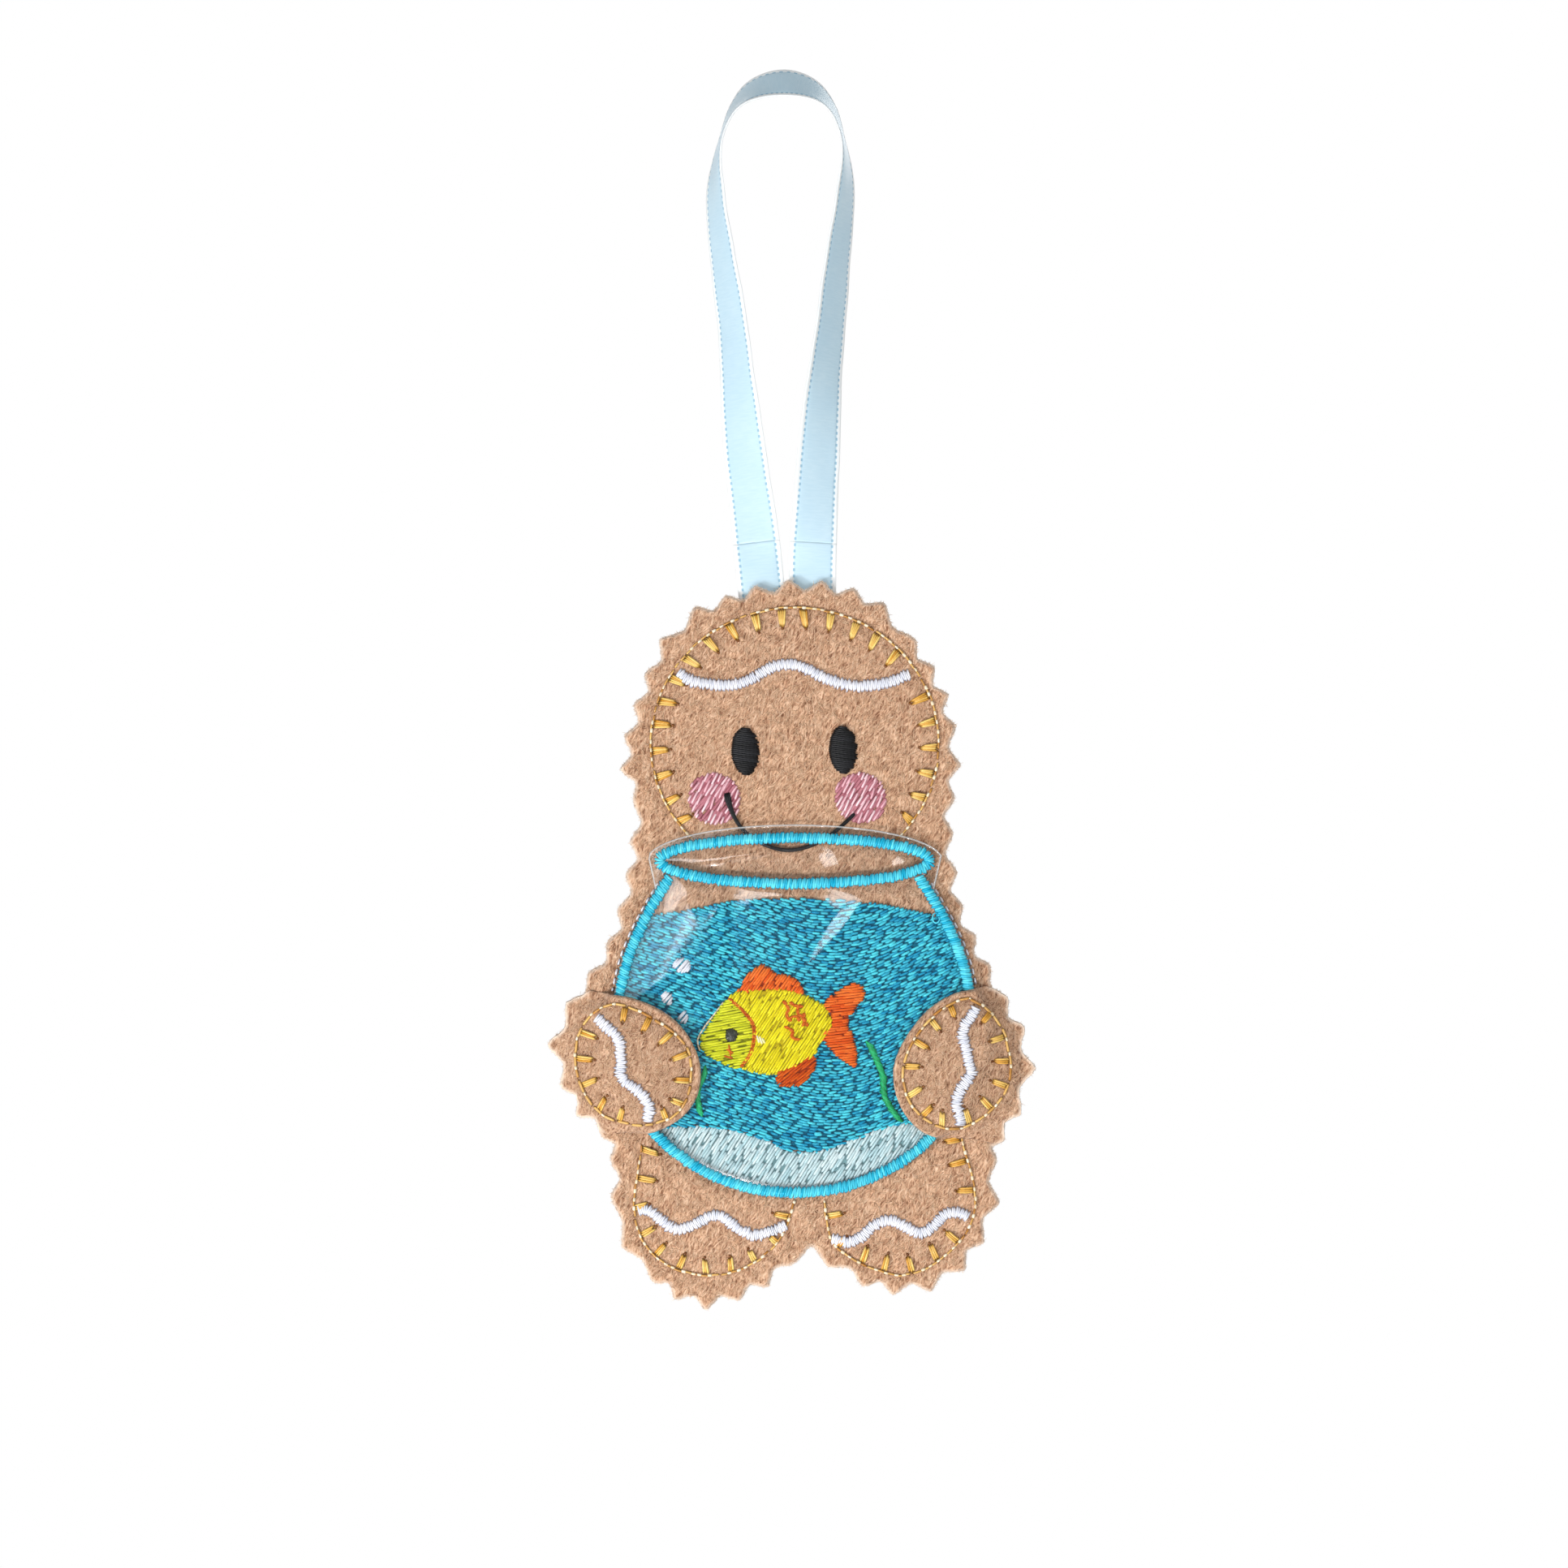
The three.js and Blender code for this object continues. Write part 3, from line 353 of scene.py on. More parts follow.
# %% The tape along its route
RIBBON_ROUTE = [
    [-3.2, -86.5, 0], [-3.2, -80.5, 0], [-3.3, -76.7, 0], [-3.8, -71.5, 0], [-4.5, -65.2, 15],
    [-5.8, -55.5, 27], [-6.8, -45.8, 39], [-7.7, -36.1, 51], [-9.2, -25.8, 58],
    [-10.2, -17.6, 68], [-10.1, -11.9, 79], [-9.2, -7.6, 84], [-7.4, -3.6, 73], [-4.4, -1, 57],
    [0, 0, 47], [4.1, -1, 57], [7, -3.6, 73], [8.6, -7.6, 84], [9.3, -11.9, 79],
    [9.1, -17.6, 68], [8.1, -25.8, 58], [7, -36.1, 51], [5.9, -45.8, 39], [5.2, -55.5, 27],
    [4.6, -65.2, 15], [4.3, -71.5, 0], [4.3, -76.7, 0], [4.3, -80.5, 0], [4.3, -86.5, 0]]
TAPE_HALF = 0.15
TAPE_STEP = 0.3
BULGE = 0.04
BINDING_SINK = 0.06
RIPPLE = 0.14
SMALL_RIPPLE = 0.04
SPLIT_DROP = 68.6
TAIL_DROP = 83.9

route = smooth(RIBBON_ROUTE, 24)
run = distances(route)


def tape(name, start, end):
    """The tape between two distances along its route. Across it, the middle bulges by a few
    hundredths, the bound line is sunk and the rim outside it is thick; both edges ripple as a
    slow wave along the tape. Each point is the middle, plus the way across times its place,
    plus the face's normal times its height."""
    places = np.linspace(start, end, int((end - start) / TAPE_STEP) + 1)
    middle, left = spots(route, places)
    turn = np.radians(np.interp(places, run, route[:, 2]))[:, None]
    along = np.stack([left[:, 1], 0 * places, -left[:, 0]], -1)
    outside = np.stack([left[:, 0], 0 * places, left[:, 1]], -1)
    face = outside * np.sin(turn) + np.array([0, -1, 0]) * np.cos(turn)
    across = np.cross(along, face)
    half = RIBBON_WIDTH / 2
    v = np.r_[-1, -0.985, -0.94, -0.88, -0.83, -0.79, -0.75, -0.68, np.linspace(-0.55, 0.55, 9),
              0.68, 0.75, 0.79, 0.83, 0.88, 0.94, 0.985, 1] * half
    high = TAPE_HALF * (1 - 0.35 * (abs(v) / half) ** 60)
    high = high + BULGE * (1 - (v / half) ** 2)
    high = high - BINDING_SINK * np.exp(-((abs(v) - BINDING) / 0.16) ** 2)
    high = high * np.where(abs(v) == half, 0.3, 1)
    ripple = RIPPLE * np.sin(places / 4.3 + 0.7) * np.sin(places / 11 + 1)
    ripple = ripple + SMALL_RIPPLE * np.sin(places / 1.3)
    wave = ripple[:, None] * (v / half) ** 2 * np.sign(v)
    around = np.r_[v, v[::-1]]
    height = np.r_[high, -high[::-1]][None, :] + np.hstack([wave, wave[:, ::-1]])
    points = (np.stack([middle[:, 0], 0 * places, middle[:, 1]], -1)[:, None]
              + across[:, None] * around[None, :, None] + face[:, None] * height[..., None])
    rows, cols = height.shape
    index = np.arange(rows * cols).reshape(rows, cols)
    here, there = index[:-1], index[1:]
    sides = np.stack([here, there, np.roll(there, -1, 1), np.roll(here, -1, 1)], -1).reshape(-1, 4)
    ends = np.stack([index[0], index[-1][::-1]])
    uv = np.stack(np.broadcast_arrays(places[:, None], around[None]), -1).reshape(-1, 2)
    return mesh_piece(name, points.reshape(-1, 3), [sides, ends], SATIN, uv)


def drop_at(drop, side):
    """The distance along the route where it passes a height, on one side of the loop."""
    chosen = np.sign(np.arange(len(route)) - len(route) / 2) == side
    z, d = route[chosen, 1], run[chosen]
    order = np.argsort(z)
    return np.interp(-drop, z[order], d[order])


split_left, split_right = drop_at(SPLIT_DROP, -1), drop_at(SPLIT_DROP, 1)
loop = tape("satin_ribbon_loop", split_left, split_right)
tails = [tape("satin_ribbon_tail_left", drop_at(TAIL_DROP, -1), split_left),
         tape("satin_ribbon_tail_right", split_right, drop_at(TAIL_DROP, 1))]
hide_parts("ribbon_loop", "ribbon_leg_left", "ribbon_leg_right")
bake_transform(loop)
for tail, node in zip(tails, ("ribbon_tail_left", "ribbon_tail_right")):
    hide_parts(node)
    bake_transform(tail)
centre = spots(route, np.linspace(split_left, split_right, 300))[0]
path = np.insert(centre, 1, 0, axis=1) * MM
print("tape in the loop", round(split_right - split_left, 1), "mm, in all", round(run[-1], 1))

# %% [markdown]
# ## The floor, the backdrop and the light
# The photograph has a plain white ground. The world is white to the camera, and only moderately
# bright for everything that it lights. What mirrors sees the white ground behind the ornament,
# and a dim room on the camera's side. The floor glows a little for the camera alone, so that it
# is white and still shows a shadow. The main soft lamp stands low on the left: the ribbon's left
# leg is the brightest, and each stitch of the bowl's edge is light on its lower left side. A
# second one stands low in front, and a wide one fills in from the upper right. Two small lamps
# close to the camera are the window and the card whose glare lies on the vinyl.

# %% Floor and light
FLOOR_DROP = 0.55
FLOOR_HALF = 800
FLOOR_GLOW = 0.36
AIM = (0, 0, -0.13)

world = bpy.data.worlds.new("studio")
bpy.context.scene.world = world
world.use_nodes = True
world.node_tree.nodes.clear()
rays = add(world, "LightPath").outputs
seen = add(world, "Math", {0: rays["Is Camera Ray"], 1: rays["Is Transmission Ray"]},
           operation="MAXIMUM")
toward = add(world, "SeparateXYZ", {"Vector": add(world, "TexCoord").outputs["Generated"]})
mirrored = add(world, "MapRange", {
    "Value": toward.outputs[1], "From Min": 0.2, "From Max": 0.7, "To Min": 0.12, "To Max": 1})
room = add(world, "Mix", {0: rays["Is Glossy Ray"], 2: 0.34, 3: mirrored}, data_type="FLOAT")
strength = add(world, "Mix", {0: seen, 2: room, 3: 1}, data_type="FLOAT")
sky = add(world, "Background", {"Strength": strength, "Color": (1, 1, 1, 1)})
add(world, "OutputWorld", {"Surface": sky})


def lamp(name, place, size, power):
    """A soft square lamp that looks at the middle of the figure."""
    light = bpy.data.lights.new(name, "AREA")
    light.size = size
    light.energy = power
    made = bpy.data.objects.new(name, light)
    made.location = place
    aim = Vector(AIM) - made.location
    made.rotation_euler = aim.to_track_quat("-Z", "Y").to_euler()
    bpy.context.scene.collection.objects.link(made)


lamp("key_low_left", (-0.52, -0.48, -0.4), 0.12, 3.1)
lamp("key_low_front", (-0.1, -0.62, -0.47), 0.09, 1.5)
lamp("fill_right", (0.45, -0.62, 0.3), 0.5, 1.8)
lamp("window_by_camera", (-0.225, -0.77, -0.07), 0.16, 0.09)
lamp("card_by_camera", (-0.095, -0.76, -0.075), 0.12, 0.2)
lamp("behind", (0.1, 0.6, 0.15), 0.5, 1.4)

card = blank("matt white card")
matt = add(card, "BsdfPrincipled", {"Base Color": "#f6f6f4", "Roughness": 0.9})
to_camera = add(card, "LightPath").outputs["Is Camera Ray"]
level = add(card, "Math", {0: to_camera, 1: FLOOR_GLOW}, operation="MULTIPLY")
glow = add(card, "Emission", {"Strength": level})
shown(card, add(card, "AddShader", {0: matt, 1: glow}))
corners = np.array([[-1, -1, 0], [1, -1, 0], [1, 1, 0], [-1, 1, 0]], float) * FLOOR_HALF
floor = mesh_piece("floor", corners - [0, 0, FLOOR_DROP / MM], [np.arange(4)[None]], card)
print("floor", FLOOR_DROP, "m under the loop")

# %% [markdown]
# ## Felt
# Craft felt is a mat of short fibres pressed flat, with no weave. Close up it is a tangle of
# pale and dark hairs a few millimetres long, and the cut edge has a fringe. The colour comes from
# streaks in three directions, with painted shade in the low pits and painted highlights on the
# fringe and along the cut edge, and loose fibres lie on it as real geometry.

# %% Felt's finish
GRAIN = (0.00028, 0.0003, 0.0015)
DRIFT = 0.0016


def felt_finish(name, level):
    """Pressed acrylic craft felt. Hairs a quarter of a millimetre wide lie in three directions,
    which drift slowly over the cloth. The highest of the three is seen: pale hairs on top, and
    dark pits where all are low, the dark being painted shade in the hollows. The cut edge is
    painted paler, a painted highlight. Real hairs are finer, and are drawn so coarse to show in
    the picture. The level scales all of it, and below 1 it darkens the felt as painted shade."""
    m = blank(name)
    at = add(m, "TexCoord").outputs["Object"]
    drift = add(m, "TexNoise", {"Vector": at, "Scale": 75, "Detail": 2})
    bent = add(m, "VectorMath", {
        0: drift.outputs["Color"], 1: (DRIFT, 0, DRIFT), 2: at}, operation="MULTIPLY_ADD")
    layers = []
    for degrees, shift in ((24, 0), (4, 0.05), (48, 0.09)):
        lay = add(m, "Mapping", {
            "Vector": bent, "Rotation": (0, np.radians(degrees), 0),
            "Location": (shift, 0, 0), "Scale": GRAIN},
            vector_type="TEXTURE")
        layers.append(add(m, "TexNoise", {
            "Vector": lay, "Scale": 1, "Detail": 2, "Roughness": 0.6}))
    high = add(m, "Math", {0: layers[0], 1: layers[1]}, operation="MAXIMUM")
    high = add(m, "Math", {0: high, 1: layers[2]}, operation="MAXIMUM")
    edge = add(m, "Attribute", attribute_name="edge").outputs["Fac"]
    low_part = add(m, "MapRange", {"Value": high, "From Min": 0.43, "From Max": 0.57})
    high_part = add(m, "MapRange", {"Value": high, "From Min": 0.54, "From Max": 0.76})
    # Painted shade: where all three hair layers are low, the felt is darkened.
    pits_shaded = add(m, "Mix", {0: low_part, 6: "#7a4f36", 7: "#c99b7a"}, data_type="RGBA")
    haired = add(m, "Mix", {0: high_part, 6: pits_shaded, 7: "#eeccae"}, data_type="RGBA")
    cloud = add(m, "TexNoise", {"Vector": at, "Scale": 620, "Detail": 2})
    clump = add(m, "MapRange", {
        "Value": cloud, "From Min": 0.3, "From Max": 0.7, "To Min": 0.87 * level,
        "To Max": 1.1 * level})
    clumped = add(m, "VectorMath", {0: haired, 3: clump}, operation="SCALE")
    # Painted highlight: the felt is paler near its cut edge.
    colour = add(m, "Mix", {0: edge, 6: clumped, 7: "#f7e0cb"}, data_type="RGBA")
    tufts = add(m, "Bump", {"Height": cloud, "Strength": 0.6, "Distance": 0.0012})
    relief = add(m, "Bump", {
        "Height": high, "Strength": 0.6, "Distance": 0.0004,
        "Normal": tufts})
    shader = add(m, "BsdfPrincipled", {
        "Base Color": colour, "Roughness": 0.95, "Specular IOR Level": 0.15,
        "Sheen Weight": 0.2, "Sheen Roughness": 0.6, "Normal": relief})
    return shown(m, shader)


def strand_finish(name, dark, middle, light, roughness=0.34, gloss=0.5, twist=0.25,
                  tint="#ffffff"):
    """Spun thread or hair. tone is each strand's own shade. A dip value, 1 where it goes down
    between its neighbours or into the cloth, mixes in the dark colour as painted shade. The twist
    is a fine slanting wave along the strand. The tint colours the gloss, because dyed filaments
    let light in."""
    m = blank(name)
    tone = add(m, "Attribute", attribute_name="tone").outputs["Fac"]
    dip = add(m, "Attribute", attribute_name="dip").outputs["Fac"]
    own = add(m, "Mix", {0: tone, 6: middle, 7: light}, data_type="RGBA")
    low = add(m, "Mix", {0: dip, 6: own, 7: dark}, data_type="RGBA")
    lay = add(m, "UVMap", uv_map="lay")
    uv = add(m, "SeparateXYZ", {"Vector": lay}).outputs
    slant = add(m, "Math", {0: uv[0], 1: 11.0, 2: uv[1]}, operation="MULTIPLY_ADD")
    wave = add(m, "Math", {0: slant}, operation="SINE")
    relief = add(m, "Bump", {"Height": wave, "Strength": twist, "Distance": 0.00003})
    shader = add(m, "BsdfPrincipled", {
        "Base Color": low, "Roughness": roughness, "Specular IOR Level": gloss,
        "Specular Tint": tint, "Normal": relief})
    return shown(m, shader)


FELT = felt_finish("pressed craft felt", 1)
# The hands' felt is the same felt, drawn darker as painted shade.
HAND_FELT_SHADED = felt_finish("pressed craft felt of the hands, painted darker as shade", 0.9)
FELT_HAIR = strand_finish("felt fibres", "#c39776", "#cea381", "#e7c7a9", 0.8, 0.15, 0)
# The fringe is the felt's own fibre, drawn paler as a painted highlight.
EDGE_HAIR_LIT = strand_finish("felt fringe painted pale as lit", "#e8c8ad", "#f3dcc6", "#fff6ec", 0.8, 0.15, 0)
print("felt and its two kinds of fibre")

# %% [markdown]
# ## The shapes on the felt
# Each sewn shape has a middle and a size, and the lines on it are given as shares of that size,
# so that they keep their place on it. The sizes are the same as those of the solids.

# %% Shapes and lines


def box(x, z, width, height):
    """The middle and the size of a sewn shape."""
    return np.array([x, z]), np.array([width, height])


HEAD = box(1.6, -98.65, 42.9, 40.5)
RIM = box(1.6, -116.1, 40.2, 6.8)
BOWL = box(1.6, -141.3, 53.8, 48.4)
FISH = box(-0.2, -140.6, 24.4, 18.2)
HANDS = {"left": box(-22.45, -146.3, 17.5, 18.3), "right": box(25.65, -146.3, 16.2, 19.8)}
LEGS = {"left": box(-10.25, -167, 24.2, 21.8), "right": box(17.05, -167, 23, 21.8)}


def on(shape, shares):
    """The points at shares of a shape's size from its middle."""
    return shape[0] + np.asarray(shares) * shape[1]


def ellipse(shape, degrees, out=0):
    """Points round a shape's ellipse: the middle, plus half the size and what stands out,
    times the cosine and sine of the angle."""
    a = np.radians(degrees)[..., None]
    reach = shape[1] / 2 + np.asarray(out)[..., None]
    return shape[0] + reach * np.concatenate([np.cos(a), np.sin(a)], -1)


HAND_SEAMS = {
    "left": [[-0.16, 0.49], [0.003, 0.454], [0.208, 0.354], [0.368, 0.242], [0.472, 0.116],
        [0.5, -0.05], [0.479, -0.215], [0.42, -0.345], [0.309, -0.44], [0.139, -0.49],
        [-0.069, -0.48], [-0.229, -0.434], [-0.361, -0.315], [-0.455, -0.149], [-0.493, 0.023],
        [-0.476, 0.209], [-0.417, 0.328], [-0.312, 0.434]],
    "right": [[0.12, 0.495], [-0.075, 0.442], [-0.25, 0.328], [-0.403, 0.175], [-0.49, -0.015],
        [-0.49, -0.15], [-0.433, -0.285], [-0.313, -0.4], [-0.127, -0.475], [0.037, -0.485],
        [0.179, -0.435], [0.321, -0.347], [0.448, -0.218], [0.5, -0.083], [0.493, 0.034],
        [0.463, 0.175], [0.388, 0.31], [0.27, 0.42]]}
LEG_SEAMS = {
    "left": [[-0.455, 0.4], [-0.47, 0.25], [-0.497, 0.041], [-0.497, -0.097], [-0.45, -0.257],
        [-0.34, -0.398], [-0.18, -0.478], [-0.02, -0.5], [0.14, -0.467], [0.285, -0.378],
        [0.395, -0.257], [0.46, -0.097], [0.49, 0.01]],
    "right": [[-0.48, 0.01], [-0.465, -0.11], [-0.43, -0.27], [-0.3, -0.385], [-0.147, -0.46],
        [0.005, -0.5], [0.174, -0.455], [0.321, -0.347], [0.442, -0.201], [0.5, -0.02],
        [0.475, 0.178], [0.43, 0.35], [0.4, 0.47]]}
BOWL_SIDE = [[-0.345, 0.47], [-0.3975, 0.375], [-0.4325, 0.3], [-0.4625, 0.215],
             [-0.4825, 0.12], [-0.5, 0]]

head_seam = ellipse(HEAD, np.linspace(-46, 226, 126))
hand_seams = {side: smooth(on(HANDS[side], HAND_SEAMS[side]), closed=True) for side in HANDS}
leg_seams = {side: smooth(on(LEGS[side], LEG_SEAMS[side])) for side in LEGS}
bowl_left = smooth(np.vstack([
    on(BOWL, BOWL_SIDE), ellipse(BOWL, np.linspace(180, 270, 9))[1:]]))
bowl_line = np.vstack([bowl_left, (bowl_left[:-1] * [-1, 1] + [2 * BOWL[0][0], 0])[::-1]])
rim_line = ellipse(RIM, np.linspace(0, 360, 160, endpoint=False))


def bowl_reach(z):
    """How far the bowl's outline lies from its middle line at a height."""
    return BOWL[0][0] - np.interp(-np.asarray(z), -bowl_left[:, 1], bowl_left[:, 0])


side_z = np.linspace(-119.5, -135.5, 9)
side_seams = {side: np.stack([BOWL[0][0] + sign * (bowl_reach(side_z) + 1.2), side_z], -1)
              for side, sign in (("left", -1), ("right", 1))}
closing_seam = smooth(np.vstack([
    ellipse(HEAD, np.linspace(220, -40, 25)), side_seams["right"],
    on(HANDS["right"], HAND_SEAMS["right"][10:])[::-1], even(leg_seams["right"], 5)[::-1],
    even(leg_seams["left"], 5)[::-1], on(HANDS["left"], HAND_SEAMS["left"][10:]),
    side_seams["left"][::-1]]), closed=True)
print("closing seam", round(distances(looped(closing_seam))[-1]), "mm")

# %% [markdown]
# ## Pinked felt
# Pinking shears cut a row of teeth, which felt rounds off. Each tooth's tip has its place
# outside the shape it belongs to. Between two tips the edge dips as a wave. The sheet is filled
# with points on a lattice and along its edge, joined into triangles, pulled down where it is
# sewn, and rounded where it is cut.

# %% The pinked outline
SEAM_ALLOWANCE = 4
TOOTH_DEPTH = 1.4
WAVE_PART = 0.6
WEDGE_PART = 0.4
RAGGED = 0.07
TOOTH_TIPS = [
    (HEAD, [[92, 1], [81, 1.05], [70, 1.08], [59, 1.07], [42, 0.7], [30, 0.64], [18.5, 0.65],
            [6.5, 0.67], [-8, 0.85], [-20, 0.97], [-31, 1.49]]),
    (BOWL, [[46.5, 2.03], [39, 1.3], [29.5, 1], [19.7, 1]]),
    (HANDS["right"], [[47.5, 0.8], [24.5, 0.75], [-3, 0.92], [-34, 0.87], [-55, 1.05]]),
    (LEGS["right"], [[24.5, 1.14], [-0.5, 0.88], [-26, 0.66], [-47, 0.74], [-71, 0.8],
                     [-93, 0.72], [-112, 0.66], [-136, 0.72, 2.1]]),
    (LEGS["left"], [[-41, 0.8], [-60, 0.9], [-77, 1.02], [-94.5, 1.3], [-111, 1.16],
                    [-126, 0.94, 0.7], [-152, 0.88, 0.6], [177, 0.86], [157, 1.2]]),
    (HANDS["left"], [[-114.5, 0.66], [-138, 0.63], [-162, 0.62], [168, 1.07], [139, 1.11],
                     [117, 1.47]]),
    (BOWL, [[153, 1.1], [143.5, 1.46], [135, 2.15]]),
    (HEAD, [[-148, 1.83], [-159, 1.06], [-171, 1.2], [177.5, 0.98], [165.5, 0.8], [154, 0.84],
            [141, 1.08], [125, 1.12], [114, 0.95], [103.5, 0.95]])]

tips = np.array([ellipse(shape, np.array(row[0]), row[1] * SEAM_ALLOWANCE)
                 for shape, rows in TOOTH_TIPS for row in rows])
depths = np.array([row[2] if len(row) > 2 else 1 for _, rows in TOOTH_TIPS for row in rows])


def pinked(per_tooth=14):
    """The edge from tip to tip: the straight line between them, minus a depth across it that
    is three parts of a rounded wave, half of one minus the cosine, and two parts of a plain
    wedge."""
    way = np.linspace(0, 1, per_tooth, endpoint=False)[None, :, None]
    step = np.roll(tips, -1, axis=0) - tips
    inward = quarter(step) / np.linalg.norm(step, axis=1)[:, None]
    deep = WAVE_PART * (1 - np.cos(2 * np.pi * way)) / 2 + WEDGE_PART * (1 - abs(2 * way - 1))
    edge = tips[:, None] + way * step[:, None]
    edge = edge + deep * inward[:, None] * TOOTH_DEPTH * depths[:, None, None]
    edge = edge.reshape(-1, 2)
    return (edge + RAGGED * np.stack([noise(edge, 1.1, 5), noise(edge, 1.3, 6)], -1))[::-1]


felt_outline = pinked()
print(len(tips), "teeth")

# %% Cloth cut to an outline
ROW_RISE = 0.87
JITTER = 0.12
EDGE_LINES = (0.15, 0.5, 1.05)


def sheet(name, outline, front, rear, spacing, finish, rounding=0.45, cut=None):
    """A flat sheet between two surfaces, given as functions of points in its plane. Its front
    is a lattice of points with three lines of points just inside the edge. Near the edge both
    faces curve to the middle of the sheet as a quarter of an ellipse, and the wall between
    them stands out by a tenth of a millimetre. The attribute named edge is 1 at the cut line
    and fades to 0 half a millimetre from it."""
    low, high = outline.min(0), outline.max(0)
    counts = np.ceil((high - low) / spacing / [1, ROW_RISE]).astype(int) + 1
    lattice = np.stack(np.meshgrid(np.arange(counts[0]), np.arange(counts[1])), -1).astype(float)
    lattice[1::2, :, 0] += 0.5
    lattice = (lattice * [1, ROW_RISE]).reshape(-1, 2) * spacing + low
    lattice = lattice + rng.uniform(-JITTER, JITTER, lattice.shape) * spacing
    lattice = lattice[inside(lattice, outline)]
    lattice = lattice[apart(lattice, outline) > 0.7 * spacing + 0.2 * rounding]
    rows = [outline]
    for depth in EDGE_LINES:
        row = grown(outline, -depth * rounding)
        rows.append(row[(apart(row, outline) > 0.85 * depth * rounding) & inside(row, outline)])
    flat = np.vstack([*rows, lattice])
    edge_count = len(outline)
    edges = [(i, (i + 1) % edge_count) for i in range(edge_count)]
    joined = delaunay_2d_cdt([Vector(p) for p in flat], edges, [], 1, 1e-7)
    flat, faces = np.array([v[:] for v in joined[0]]), np.array(joined[2])
    near = np.clip(1 - apart(flat, outline) / rounding, 0, 1)
    curve = 0.5 * (1 - np.sqrt(1 - near ** 2))
    y_front, y_rear = front(flat), rear(flat)
    thick = y_rear - y_front
    n = len(flat)
    wall = grown(outline, 0.1)
    faces_at = np.column_stack([flat[:, 0], y_front + 0.85 * curve * thick, flat[:, 1]])
    backs_at = np.column_stack([flat[:, 0], y_rear - 0.85 * curve * thick, flat[:, 1]])
    wall_y = ((y_front + y_rear) / 2)[:edge_count]
    walls_at = np.column_stack([wall[:, 0], wall_y, wall[:, 1]])
    points = np.vstack([faces_at, backs_at, walls_at])
    i = np.arange(edge_count)
    j = (i + 1) % edge_count
    walls = np.vstack([np.column_stack([i, 2 * n + i, 2 * n + j, j]),
                       np.column_stack([2 * n + i, n + i, n + j, 2 * n + j])])
    # The felt paints this band by its cut edge paler as a painted highlight; the vinyl frosts it.
    pale = np.clip(1 - apart(flat, outline if cut is None else cut) / 0.5, 0, 1) ** 1.5
    edge = np.r_[pale, pale, pale[:edge_count]]
    return mesh_piece(name, points, [faces, faces[:, ::-1] + n, walls], finish, edge=edge)


FELT_FRONT = -1.75
FELT_REAR = 1.45
FELT_INNER = -0.45
FELT_INNER_REAR = 0.15
PIN_STEP = 0.5

back_pins = even(closing_seam, PIN_STEP, closed=True)
front_pins = np.vstack([even(head_seam, PIN_STEP), even(bowl_left, PIN_STEP), back_pins,
                        *(even(line, PIN_STEP) for line in leg_seams.values())])


def sewn_dent(points, pins, depth=0.3, width=0.95):
    """How far stitches pull the felt in: a bell curve of the distance to the nearest pin."""
    d = in_parts(points.reshape(-1, 2), PINS_AT_ONCE,
                 lambda part: np.linalg.norm(part[:, None] - pins, axis=-1).min(1))
    return depth * np.exp(-(d.reshape(points.shape[:-1]) / width) ** 2)


def felt_top(points):
    """The front felt's face, in front of the plane: flat, uneven by a twentieth, and pulled
    in along the seams."""
    return FELT_FRONT + sewn_dent(points, front_pins) - 0.05 * noise(points, 3.1, 11)


def felt_back(points):
    """The back felt's face, uneven and pulled in along its one seam."""
    return FELT_REAR - sewn_dent(points, back_pins) + 0.05 * noise(points, 3.3, 12)


def flat_at(y):
    """A surface that is flat at a place behind the plane."""
    return lambda points: np.full(points.shape[:-1], float(y))


front_felt = sheet("front_felt_sheet", felt_outline, felt_top, flat_at(FELT_INNER), 0.55, FELT)
back_felt = sheet("back_felt_sheet", felt_outline, flat_at(FELT_INNER_REAR), felt_back, 0.7, FELT)
on_figure(front_felt, "tan_felt", "front_felt")
on_figure(back_felt, "tan_felt", "back_felt")

# %% [markdown]
# ## Threads
# A stitch comes up through the cloth, runs over it and goes down again. So a thread here is a
# tube whose middle line rises as an arch between two needle holes, narrower where it dives. All
# the stitches of one colour in one place make one piece.

# %% Tubes for stitches and hairs


def arches(a, b, surface, lift, ease=0.15, out=-1, sink=0.12, power=4):
    """Middle lines of stitches from a to b. In the plane they are straight. Their height over
    the surface is the lift times one minus a power of how far they are from their middle, and
    the ends go below it. A power of 4 makes a flat stitch, and 2 a round one. The ease is the
    share of the length at each end that is painted darker as shade."""
    way = np.array([0, ease, 0.5, 1 - ease, 1])
    flat = a[:, None] + way[None, :, None] * (b - a)[:, None]
    rise = 1 - abs(2 * way - 1) ** power
    high = np.asarray(lift).reshape(-1, 1) * rise - sink * (1 - rise)
    return np.stack([flat[..., 0], surface(flat) + out * high, flat[..., 1]], -1)


